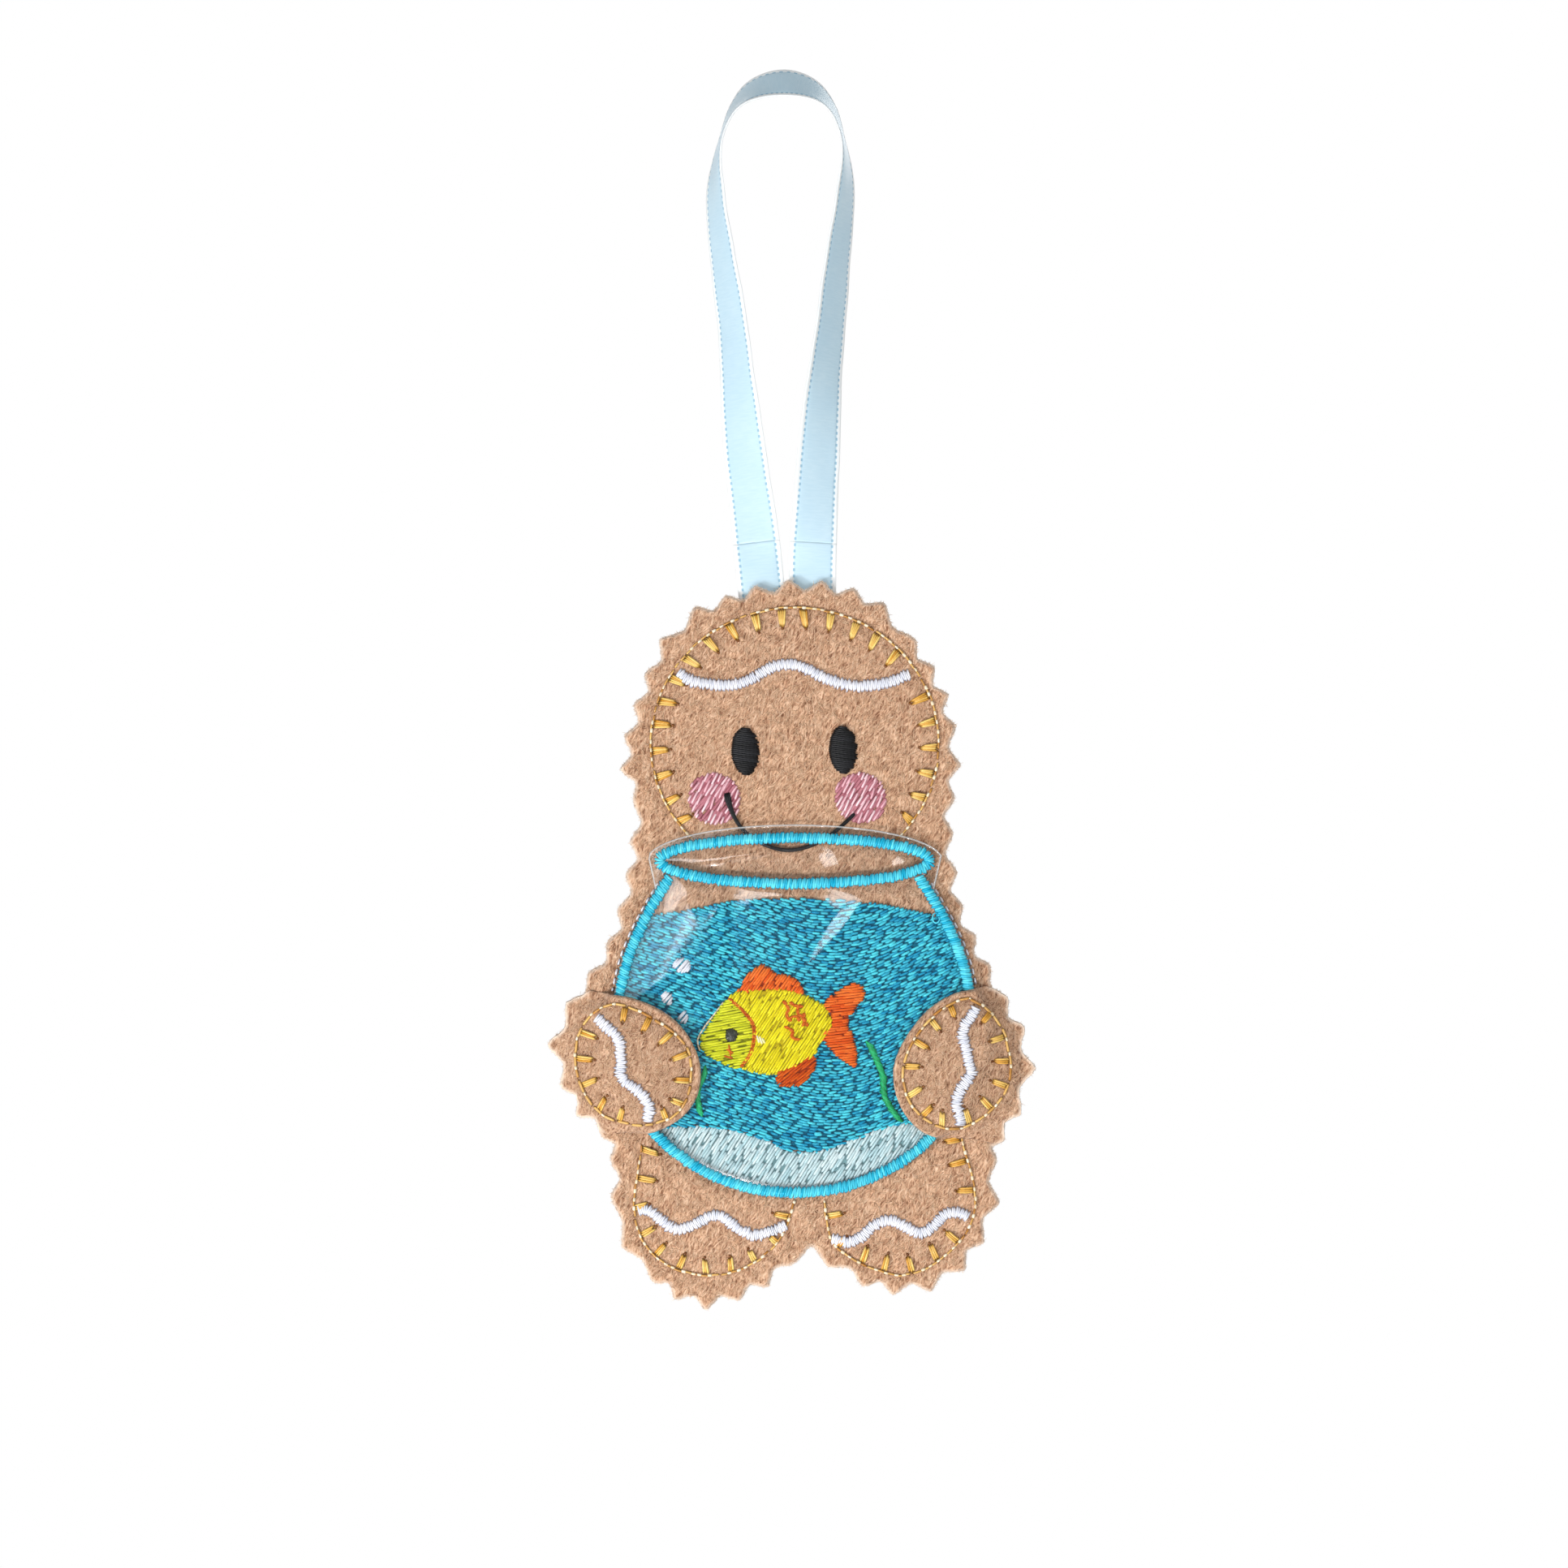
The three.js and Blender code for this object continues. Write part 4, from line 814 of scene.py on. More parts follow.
def tubes(name, paths, width, high, finish, out=-1, sides=6, taper=0.6):
    """Closed tubes along paths, all at once. Round each station lies a ring of points: the
    middle, plus the way across times half the width times the cosine, plus the way up times
    half the height times the sine, both smaller at the ends."""
    n, stations, _ = paths.shape
    t = np.gradient(paths, axis=1)
    t /= np.linalg.norm(t, axis=-1, keepdims=True)
    across = np.cross(t, [0, out, 0])
    across /= np.linalg.norm(across, axis=-1, keepdims=True)
    up = np.cross(across, t)
    way = abs(np.linspace(-1, 1, stations))
    size = (1 - (1 - taper) * way ** 5)[None, :, None, None]
    a = np.linspace(0, 2 * np.pi, sides, endpoint=False)[None, None, :, None]
    width, high = (np.asarray(v, float).reshape(-1, 1, 1, 1) / 2 for v in (width, high))
    points = paths[:, :, None] + size * (
        across[:, :, None] * np.cos(a) * width + up[:, :, None] * np.sin(a) * high)
    index = np.arange(n * stations * sides).reshape(n, stations, sides)
    here, there = index[:, :-1], index[:, 1:]
    walls = np.stack([here, there, np.roll(there, -1, 2), np.roll(here, -1, 2)], -1)
    caps = np.concatenate([index[:, 0], index[:, -1, ::-1]])
    length = np.r_["1", np.zeros((n, 1)), np.cumsum(
        np.linalg.norm(np.diff(paths, axis=1), axis=-1), axis=1)]
    uv = np.stack(np.broadcast_arrays(length[:, :, None], a[..., 0]), -1).reshape(-1, 2)
    tone = rng.random(n)
    spread = np.ones((1, stations, sides))
    # Painted shade: each tube is darker at its ends, where it dives, and on its sides and
    # underside.
    ends = np.clip((way - 0.5) / 0.5, 0, 1)[None, :, None] ** 1.5
    dip = np.clip(ends + 0.5 * (1 - np.sin(a[..., 0])) ** 1.2 / 1.2 * (1 - ends), 0, 1)
    dip = dip * np.ones((n, 1, 1))
    return mesh_piece(name, points.reshape(-1, 3), [walls.reshape(-1, 4), caps], finish, uv,
                      tone=tone[:, None, None] * spread, dip=dip)


def hairs(name, count, outline, surface, finish, out=-1, length=(0.7, 1.9), reach=0.2,
          covered=None):
    """Loose fibres on felt: each starts in the cloth, bends in its own curve and ends a little
    way off it. None start where something covers the felt."""
    low, high = outline.min(0), outline.max(0)
    root = rng.uniform(low, high, (count * 4, 2))
    root = root[inside(root, grown(outline, -0.4))]
    if covered is not None:
        root = root[~inside(root, covered)]
    root = root[:count]
    n = len(root)
    turn = np.radians(rng.normal(64, 32, n)) + rng.integers(0, 2, n) * np.pi
    curl = rng.normal(0, 1.1, n)
    size = rng.uniform(*length, n)
    way = np.linspace(0, 1, 4)
    bearing = turn[:, None] + curl[:, None] * way
    step = np.stack([np.cos(bearing), np.sin(bearing)], -1) * (size / 3)[:, None, None]
    flat = root[:, None] + np.cumsum(step, axis=1) - step[:, :1]
    flat = flat[inside(flat, outline).all(1)]
    n = len(flat)
    rise = np.array([-0.02, 0.02, 0.03, 0.0]) + rng.exponential(0.15, (n, 1)) * reach * way ** 2
    y = surface(flat) + out * rise
    paths = np.stack([flat[..., 0], y, flat[..., 1]], -1)
    return tubes(name, paths, 0.12, 0.04, finish, out, sides=3, taper=0.4)


def fringe(name, per_mm, outline, y_low, y_high, finish):
    """Fibres that stand out of a cut edge, each bent a little; their pale finish is a painted
    highlight. The outline runs against the clock as the front is seen, so outwards is to its
    right."""
    line = looped(outline)
    length = distances(line)[-1]
    places = rng.uniform(0, length, int(per_mm * length))
    root, left = spots(line, places)
    n = len(root)
    turn = rng.normal(0, 0.75, n)
    out = -left
    size = rng.gamma(2, 0.07, n) + 0.08
    way = np.linspace(-0.3, 1, 4)[None, :, None]
    sideways = quarter(out)
    lean = out * np.cos(turn)[:, None] + sideways * np.sin(turn)[:, None]
    bent = sideways * rng.normal(0, 0.25, (n, 1))
    flat = root[:, None] + size[:, None, None] * (lean[:, None] * way + bent[:, None] * way ** 2)
    y = rng.uniform(y_low, y_high, (n, 1)) + rng.normal(0, 0.12, (n, 1)) * way[..., 0]
    paths = np.stack([flat[..., 0], y, flat[..., 1]], -1)
    return tubes(name, paths, 0.08, 0.08, finish, sides=3, taper=0.35)


def sewn(name, a, b, surface, finish, slot, nodes=(), lift=0.3, width=0.36, high=0.34, out=-1,
         **bend):
    """Stitches from a to b over a surface, as one piece that moves with the figure."""
    paths = arches(a, b, surface, lift, out=out, **bend)
    return on_figure(tubes(name, paths, width, high, finish, out), slot, *nodes)


bowl_body = bowl_line[bowl_line[:, 1] < BOWL[0][1] + 0.4 * BOWL[1][1]]
on_figure(hairs("front_felt_fibres", 9500, felt_outline, felt_top, FELT_HAIR,
                covered=bowl_body), "tan_felt")
on_figure(hairs("back_felt_fibres", 4000, felt_outline, felt_back, FELT_HAIR, out=1), "tan_felt")
on_figure(fringe("front_felt_fringe", 13, felt_outline, -1.65, -0.6, EDGE_HAIR_LIT), "tan_felt")
on_figure(fringe("back_felt_fringe", 10, felt_outline, 0.25, 1.35, EDGE_HAIR_LIT), "tan_felt")

# %% [markdown]
# ## Thread colours
# Rayon embroidery thread is a glossy filament yarn. Each colour has the shade it shows in the
# light, a darker one painted as shade where it dives into the cloth and on the sides of each
# strand, and a lighter one that each strand takes in a random share.

# %% Thread colours
GOLD = strand_finish("gold rayon thread", "#6e3c0c", "#dc9a2e", "#fddc80", 0.3)
# The next two are the gold thread drawn darker as painted shade: in the holes, and where the seam
# is pulled down.
HOLE_SHADE = strand_finish("gold thread in its hole, painted dark as shade", "#4a260c", "#6e3d14", "#8a5420")
LINK_SHADED = strand_finish("gold thread pulled down, painted darker as shade", "#5a3010", "#bd7f34", "#f0c474", 0.3)
CREAM = strand_finish("cream bobbin thread", "#c39a66", "#f2dfba", "#fff4dc")
WHITE = strand_finish("white rayon thread", "#8189a8", "#e0e3ef", "#fbfaff", 0.4)
BLACK = strand_finish("black rayon thread", "#040405", "#101012", "#222327", 0.42, 0.3)
PINK = strand_finish("pink rayon thread", "#a0525f", "#eab0bd", "#fde3e9")
TURQUOISE = strand_finish("turquoise rayon thread", "#0678a0", "#12aed4", "#6ae6f7", 0.24, 0.8,
                          tint="#9cf2ff")
WATER = strand_finish("water blue rayon thread", "#01587a", "#0190be", "#5ae8f8", 0.24, 0.8,
                      tint="#80f0ff")
SAND = strand_finish("pale aqua rayon thread", "#6d929a", "#bddfe6", "#e6f6f8", 0.4)
YELLOW = strand_finish("yellow rayon thread", "#988304", "#e0d005", "#fbf01c", 0.3,
                       tint="#fff8a0")
LIME = strand_finish("lime yellow rayon thread", "#6f7006", "#c6cc0e", "#ecee30", 0.3,
                     tint="#fff8a0")
ORANGE = strand_finish("orange rayon thread", "#8f2808", "#e45608", "#fb8030", 0.3, 0.4,
                       tint="#ffc890")
RUST = strand_finish("deep orange rayon thread", "#872806", "#c84402", "#e06414", 0.3, 0.3,
                     tint="#ffc890")
RUSTY = strand_finish("burnt orange rayon thread", "#7e3402", "#c65606", "#e67c1e", 0.4, 0.15)
GREEN = strand_finish("green rayon thread", "#07502f", "#0a9a56", "#22c47c", 0.34, 0.25)
print(sum("thread" in made.name for made in bpy.data.materials), "colours of thread")

# %% [markdown]
# ## Running seams and blanket bars
# A gold seam runs round the head, the hands and the legs. Where the needle goes down, the cream
# bobbin thread comes up as a bead between two gold stitches. Every few millimetres a bar of
# four strands runs inwards, spread at the seam and drawn together in one hole at its end. Each
# bar has its own place along the seam, its own length and its own lean.

# %% Seams with bars
BARS = {
    "head": [[0.039, 2.1, 0.2], [0.081, 2.5, -0.4], [0.119, 2.8, -0.1], [0.161, 2.8, -0.1],
        [0.202, 2.9, -0.3], [0.242, 3.1, -0.1], [0.325, 3.1, -0.3], [0.366, 3, -0.3],
        [0.402, 3, -0.2], [0.444, 3, -0.3], [0.488, 3.1, -0.6], [0.52, 3, 0.1], [0.562, 3, 0.1],
        [0.605, 3, -0.2], [0.646, 3, -0.2], [0.69, 3, -0.5], [0.728, 2.8, -0.3],
        [0.767, 2.9, -0.5], [0.803, 3, -0.2], [0.845, 2.9, -0.1], [0.886, 2.8, -0.2],
        [0.927, 2.6, -0.1], [0.961, 2.5, 0.5]],
    "hand_left": [[0.032, 2.6, 0.3], [0.104, 2.7, 0.1], [0.176, 2.9, -0.4], [0.248, 3, 0.1],
        [0.323, 2.6, 0.1], [0.39, 2.2, 0.3], [0.452, 2.1, -0.2], [0.582, 2.4, -0.2],
        [0.645, 2.6, 0.6], [0.727, 2.9, 0], [0.803, 3, -0.3], [0.875, 2.9, 0.3]],
    "hand_right": [[0.058, 2.1, 0.2], [0.123, 2.3, 0.2], [0.195, 2.6, 0], [0.271, 2.7, -0.4],
        [0.356, 2.8, -0.5], [0.423, 2.5, 0.2], [0.485, 2.5, -0.6], [0.566, 2.9, 0.4],
        [0.638, 2.7, 0.1], [0.714, 2.8, 0], [0.785, 2.7, 0.3], [0.853, 2.6, 0.2],
        [0.93, 2.2, -0.1]],
    "leg_left": [[0.017, 3, 0.5], [0.114, 3, 0], [0.215, 2.3, -0.6], [0.31, 2.7, -0.3],
        [0.394, 2.6, -0.1], [0.484, 2.6, 0.2], [0.579, 2.6, -0.3], [0.664, 2.4, 0.4],
        [0.751, 2.2, 0.2], [0.847, 1.6, 0.1], [0.943, 2.6, -0.3]],
    "leg_right": [[0.052, 2.7, -0.1], [0.16, 2.2, 0], [0.26, 2.8, -0.3], [0.337, 2.9, -0.2],
        [0.435, 2.9, 0], [0.528, 2.9, 0.6], [0.62, 2.8, 0], [0.808, 2.8, 0.4],
        [0.908, 2.9, 0.1], [0.982, 2.7, 0.2]]}


def running(line, pitch, bead=0.6, closed=False, uneven=0.06):
    """The ends of the stitches along a line, and of the beads between them."""
    line = looped(line, closed)
    length = distances(line)[-1]
    at = np.linspace(0, length, round(length / pitch) + 1)
    at = at + rng.normal(0, uneven, len(at))
    a, b = spots(line, at[:-1] + 0.3 * bead)[0], spots(line, at[1:] - 0.3 * bead)[0]
    bead_a, bead_b = spots(line, at - 0.5 * bead)[0], spots(line, at + 0.5 * bead)[0]
    shift = rng.normal(0, 0.05, a.shape)
    return (a + shift, b + shift), (bead_a, bead_b)


def bars(line, table, side, closed=False, strands=4, fan=0.33, pinch=0.16):
    """The strands of each bar, the fan apart along the seam at their outer ends, and the pinch
    apart in the hole at their inner ends, at the bar's length and lean."""
    line = looped(line, closed)
    share, reach, lean = np.array(table).T
    at = share * distances(line)[-1]
    middle, left = spots(line, at)
    along = quarter(left)
    hole = middle + side * left * reach[:, None] + along * lean[:, None]
    a, b = [], []
    for strand in np.arange(strands) - (strands - 1) / 2:
        start = side * left * rng.uniform(0, 0.2, (len(at), 1))
        a.append(spots(line, at + fan * strand)[0] + start)
        b.append(hole + along * pinch * strand - side * left * rng.uniform(0, 0.4, (len(at), 1)))
    return np.vstack(a), np.vstack(b), (hole - side * left * 0.15, hole + side * left * 0.25)


def seam(name, line, side, surface, nodes, pitch=1.4, bead=0.62, width=0.32, closed=False,
         uneven=0.12, shown_beads=0.85, **bar):
    """A running seam with its beads, its bars and a short dark tube in the hole at each bar's end.
    The running stitches and those tubes are the gold thread drawn darker as painted shade. Some
    beads stay under the cloth."""
    (a, b), (bead_a, bead_b) = running(line, pitch, bead, closed, uneven)
    seen = rng.random(len(bead_a)) < shown_beads
    bead_a, bead_b = bead_a[seen], bead_b[seen]
    sewn(name, a, b, surface, LINK_SHADED, "gold_thread", nodes, 0.24, width, 0.36, sink=-0.03)
    sewn(f"{name}_beads", bead_a, bead_b, surface, CREAM, "white_thread",
         width=rng.uniform(0.3, 0.5, len(bead_a)), sink=-0.08)
    a, b, hole = bars(line, BARS[name], side, closed, **bar)
    sewn(f"{name}_bars", a, b, surface, GOLD, "gold_thread", lift=0.42, high=0.38, ease=0.2,
         sink=0.05, power=2.5)
    sewn(f"{name}_holes", *hole, surface, HOLE_SHADE, "gold_thread", lift=0.1, width=0.42, high=0.2,
         sink=0.02)


seam("head", head_seam, 1, felt_top, ["head_seam_thread"])
for side in LEGS:
    seam(f"leg_{side}", leg_seams[side], 1, felt_top, [f"leg_{side}_seam_thread"], strands=3,
         pinch=0.25)
for side, line in side_seams.items():
    a, b = running(line, 1.5, 0.9)[1]
    sewn(f"body_seam_{side}", a, b, felt_top, WHITE, "white_thread",
         [f"body_seam_{side}_thread"], lift=0.5, high=0.36, sink=-0.1)
a, b = running(closing_seam, 2.1, 1.7, closed=True)[1]
sewn("back_seam", a, b, felt_back, GOLD, "gold_thread", ["back_seam_thread"], 0.12, 0.42, 0.3,
     out=1)

# %% [markdown]
# ## Satin stitch
# Icing, the bowl's outline and its rim are satin stitch: strands side by side across a line, so
# close that the cloth is hidden. The needle falls a little differently each time, which leaves
# the ragged edge.

# %% Satin stitch
ICING_WIDTH = 1.7
ICING_PITCH = 0.29


def satin(line, width, pitch=0.3, slant=0.0, closed=False, ragged=0.1):
    """Strand ends on both sides of a line. Every other strand leans the other way a little, and
    all of them lean by the slant."""
    line = looped(line, closed)
    length = distances(line)[-1]
    at = np.arange(pitch / 2, length, pitch)
    middle, left = spots(line, at)
    along = quarter(left)
    zig = (np.arange(len(at)) % 2 * 2 - 1)[:, None] * 0.07
    half = (width / 2 + rng.normal(0, ragged / 2, (2, len(at))))[..., None]
    a = middle + left * half[0] + along * (slant + zig) * half[0]
    b = middle - left * half[1] - along * (slant + zig) * half[1]
    return a, b


ICING = {
    "icing_forehead": (HEAD, [[-0.405, 0.262], [-0.369, 0.234], [-0.302, 0.219],
        [-0.212, 0.216], [-0.144, 0.24], [-0.079, 0.281], [-0.02, 0.293], [0.037, 0.278],
        [0.105, 0.24], [0.178, 0.216], [0.261, 0.213], [0.345, 0.231], [0.4, 0.254]]),
    "icing_left_leg": (LEGS["left"], [[-0.475, -0.055], [-0.42, -0.047], [-0.34, -0.116],
        [-0.242, -0.185], [-0.145, -0.16], [-0.035, -0.097], [0.045, -0.097], [0.125, -0.169],
        [0.235, -0.224], [0.33, -0.202], [0.435, -0.16]]),
    "icing_right_leg": (LEGS["right"], [[-0.432, -0.246], [-0.316, -0.274], [-0.232, -0.229],
        [-0.147, -0.147], [-0.032, -0.127], [0.053, -0.172], [0.137, -0.212], [0.221, -0.172],
        [0.289, -0.093], [0.374, -0.065], [0.458, -0.102]])}
HAND_ICING = {
    "left": [[-0.312, 0.381], [-0.201, 0.288], [-0.118, 0.202], [-0.104, 0.096],
        [-0.097, -0.003], [-0.097, -0.109], [-0.014, -0.175], [0.083, -0.248], [0.139, -0.341],
        [0.125, -0.46]],
    "right": [[0.179, 0.426], [0.134, 0.365], [0.067, 0.291], [0.052, 0.212], [0.082, 0.12],
        [0.101, 0.034], [0.134, -0.064], [0.06, -0.15], [0, -0.236], [0, -0.328],
        [0.037, -0.402], [0.037, -0.46]]}


def icing(name, shape, shares, surface, ragged):
    """A wave of white satin stitch over the points at shares of a shape."""
    a, b = satin(smooth(on(shape, shares)), ICING_WIDTH, ICING_PITCH, ragged=ragged)
    sewn(f"{name}_satin", a, b, surface, WHITE, "white_thread", [name], 0.5, 0.35, ease=0.2,
         power=2.5)


for name, (shape, shares) in ICING.items():
    icing(name, shape, shares, felt_top, ragged=0.2)

# %% [markdown]
# ## Filled shapes
# Water, sand and fish are filled with rows of short stitches, each row set off from the last, as
# bricks are. The rows of the water bend slowly from one side of the bowl to the other. Under
# them lies an underlay of threads, coloured darker than the stitches as painted shade, which
# shows in the gaps.

# %% Rows of stitches
TRIALS = 21


def rows_in(outline, degrees, pitch, length, course=None, stagger=0.37, least=0.22, middle=None,
            loose=0.08, stretch=1.0):
    """The ends of stitches that fill an outline. p runs along the rows and q across them. Row k
    lies at q equal to k times the pitch, plus the course that all rows follow. Its stitches
    start at whole lengths of p plus k times the stagger, give or take a loose share of their
    length, and are longer than that by the stretch. Each is cut to the outline by trial points
    along it."""
    a = np.radians(degrees)
    turn = np.array([[np.cos(a), np.sin(a)], [-np.sin(a), np.cos(a)]])
    middle = outline.mean(0) if middle is None else middle
    local = (outline - middle) @ turn.T
    reach = abs(local).max() + length
    k = np.arange(-int(1.4 * reach / pitch), int(1.4 * reach / pitch) + 1)
    j = np.arange(-int(reach / length) - 1, int(reach / length) + 1)
    start = (j[None] + (k[:, None] * stagger) % 1) * length
    start = start + rng.normal(0, loose * length, start.shape)
    way = np.linspace(0, 1, TRIALS)
    size = length * stretch * rng.uniform(0.85, 1.15, (*start.shape, 1))
    p = start[..., None] + way * size
    q = k[:, None, None] * pitch + (0 if course is None else course(p))
    q = q + rng.normal(0, 0.1 * pitch, (*start.shape, 1)) + (
        rng.normal(0, 0.12 * pitch, (*start.shape, 1)) * (2 * way - 1))
    flat = np.stack([p, q], -1) @ turn + middle
    low, high = outline.min(0), outline.max(0)
    centre = flat[..., TRIALS // 2, :]
    flat = flat[((centre > low - size) & (centre < high + size)).all(-1)]
    hit = inside(flat, outline)
    first = hit.argmax(-1)
    last = TRIALS - 1 - hit[..., ::-1].argmax(-1)
    keep = hit.any(-1) & ((last - first) * length / TRIALS >= least)
    rows = np.flatnonzero(keep)
    return flat[rows, first[rows]], flat[rows, last[rows]]


def filled(name, outline, degrees, pitch, length, surface, finish, slot, nodes=(), lift=0.3,
           width=0.4, high=0.34, ease=0.15, power=4, **laid):
    """An outline filled with rows of stitches, as one piece."""
    a, b = rows_in(outline, degrees, pitch, length, **laid)
    return sewn(name, a, b, surface, finish, slot, nodes, lift, width, high, ease=ease,
                power=power)


# %% Eyes, cheeks and smile
# The cheeks' ground is pink underlay thread drawn darker, as painted shade between the stitches.
CHEEK_GROUND_SHADED = strand_finish("rose rayon thread", "#7e3c46", "#a9606e", "#c47f8b")
EYES = {"left": box(-5.82, -99.85, 4.1, 6.8), "right": box(8.76, -99.6, 4.1, 6.85)}
CHEEKS = {"left": box(-10.4, -106.9, 7.7, 7.7), "right": box(11.4, -106.8, 7.6, 7.6)}
SMILE = [[-0.236, -0.183], [-0.223, -0.24], [-0.186, -0.311], [-0.121, -0.365],
         [-0.028, -0.394], [0.06, -0.375], [0.122, -0.338], [0.168, -0.299], [0.207, -0.259]]
all_round = np.linspace(0, 360, 40, endpoint=False)

for side in EYES:
    middle, size = EYES[side]
    q = np.arange(-size[1] / 2 + 0.05, size[1] / 2, 0.29)
    half = size[0] / 2 * np.sqrt(1 - (q / (size[1] / 2 + 0.05)) ** 2)
    a = middle + np.stack([-half - rng.uniform(0, 0.12, len(q)), q + 0.14 * half], -1)
    b = middle + np.stack([half + rng.uniform(-0.05, 0.35, len(q)), q - 0.14 * half], -1)
    sewn(f"eye_{side}_satin", a, b, felt_top, BLACK, "black_thread", [f"eye_{side}"], 0.6, 0.4,
         0.32, ease=0.1, power=3)
    outline = ellipse(CHEEKS[side], all_round)
    # Ground of darker pink: real underlay, darkened as painted shade.
    filled(f"cheek_{side}_ground", grown(outline, 0.1), 52, 0.42, 2.9, felt_top, CHEEK_GROUND_SHADED,
           "pink_thread", lift=0.14, width=0.5, high=0.2, loose=0.1, stretch=1.3)
    filled(f"cheek_{side}_stitches", grown(outline, 0.15), 62, 0.66, 2.4, felt_top, PINK,
           "pink_thread", [f"cheek_{side}"], width=0.36, high=0.3, loose=0.25)

smile = smooth(on(HEAD, SMILE))
at = np.arange(0, distances(smile)[-1] - 1.2, 0.5)
full = 0.1 + 0.3 * np.exp(-at / 1.3)
a, across = spots(smile, at)
b = spots(smile, at + 1.5)[0]
a, b = (np.vstack([p + across * shift * full[:, None] for shift in (-0.7, 0, 0.7)])
        for p in (a, b))
sewn("smile_stitches", a, b, lambda p: felt_top(p) - 0.34, BLACK, "black_thread",
     ["mouth_stitch"], 0.14, 0.42)

# %% [markdown]
# ## What is in the bowl
# The water's top is nearly straight, the sand's is wavy, and both end at the bowl's outline. The
# fish lies over the water, with its own directions of thread for head, body and fins.

# %% Water and sand
UNDERLAY_Y = -1.86
WATER_Y = -1.88
SAND_Y = -1.9
SAND_FOOT = -165.4
WATER_TOP = [[-0.4, 0.348], [-0.28, 0.37], [-0.16, 0.395], [0.06, 0.4], [0.23, 0.385],
             [0.4, 0.345]]
SAND_TOP = [[-0.38, -0.3], [-0.25, -0.298], [-0.16, -0.311], [-0.09, -0.335], [-0.01, -0.373],
            [0.07, -0.373], [0.144, -0.346], [0.235, -0.306], [0.316, -0.288], [0.38, -0.318]]


def across_bowl(shares):
    """A smooth line across the bowl whose ends lie on its outline."""
    line = on(BOWL, shares)
    line[0, 0] = BOWL[0][0] - bowl_reach(line[0, 1])
    line[-1, 0] = BOWL[0][0] + bowl_reach(line[-1, 1])
    return smooth(line)


def bowl_side(sign, top, foot):
    """The bowl's outline on one side between two heights, from the top down."""
    part = bowl_left[(bowl_left[:, 1] < top - 0.3) & (bowl_left[:, 1] > foot + 0.3)]
    return np.column_stack([BOWL[0][0] + sign * (BOWL[0][0] - part[:, 0]), part[:, 1]])


water_top, sand_top = across_bowl(WATER_TOP), across_bowl(SAND_TOP)
water_outline = np.vstack([
    water_top, bowl_side(1, water_top[-1, 1], sand_top[-1, 1]), sand_top[::-1],
    bowl_side(-1, water_top[0, 1], sand_top[0, 1])[::-1]])
sand_outline = np.vstack([sand_top, bowl_side(1, sand_top[-1, 1], SAND_FOOT),
                          bowl_side(-1, sand_top[0, 1], SAND_FOOT)[::-1]])


def underlay_finish(name, dark, light):
    """Underlay threads in shadow, as soft level ribs a quarter of a millimetre high."""
    m = blank(name)
    at = add(m, "TexCoord").outputs["Object"]
    grain = add(m, "Mapping", {"Vector": at, "Scale": (1, 1, 4)})
    ribs = add(m, "TexNoise", {"Vector": grain, "Scale": 900, "Detail": 1})
    tone = add(m, "Mix", {0: ribs, 6: dark, 7: light}, data_type="RGBA")
    relief = add(m, "Bump", {"Height": ribs, "Strength": 0.6, "Distance": 0.0002})
    shader = add(m, "BsdfPrincipled", {
        "Base Color": tone, "Roughness": 0.6, "Specular IOR Level": 0.1,
        "Normal": relief})
    return shown(m, shader)


def underlay(name, outline, front, finish, slot):
    """A thin sheet of underlay, just inside the shape that is sewn over it."""
    ground = grown(anticlockwise(even(outline, 1.2, closed=True)), -0.25)
    piece = sheet(name, ground, flat_at(front), flat_at(front + 0.3), 2.4, finish, 0.1)
    return on_figure(piece, slot)


# The underlays are drawn darker than the threads over them, as painted shade in the gaps.
WATER_UNDERLAY_SHADED = underlay_finish("water blue underlay", "#005873", "#007594")
PALE = underlay_finish("pale aqua underlay", "#74999f", "#8fb5bb")
underlay("water_underlay", water_outline, UNDERLAY_Y, WATER_UNDERLAY_SHADED, "water_thread")
underlay("sand_underlay", sand_outline, UNDERLAY_Y, PALE, "sand_thread")


def water_course(p):
    """The rows go down to the right on the left side, and up to the right past the middle. Their
    slope is a smooth step from its first value to its last, and this is its sum along p."""
    along = np.linspace(-40, 40, 161)
    t = np.clip((along + 3) / 20, 0, 1)
    slope = -0.31 + 0.82 * t * t * (3 - 2 * t)
    return np.interp(p, along, np.cumsum(slope) * (along[1] - along[0]))


filled("water_stitches", grown(water_outline, 0.15), 0, 0.43, 1.3, flat_at(WATER_Y), WATER,
       "water_thread", ["water_fill"], width=0.43, high=0.35, ease=0.22, power=2,
       course=water_course, stagger=0.31, middle=BOWL[0], loose=0.16, stretch=1.1)
filled("sand_stitches", grown(sand_outline, 0.15), 57, 0.4, 2.3, flat_at(SAND_Y), SAND,
       "sand_thread", ["sand_fill"], lift=0.25, width=0.41, stagger=0.29, loose=0.15, stretch=1.2)

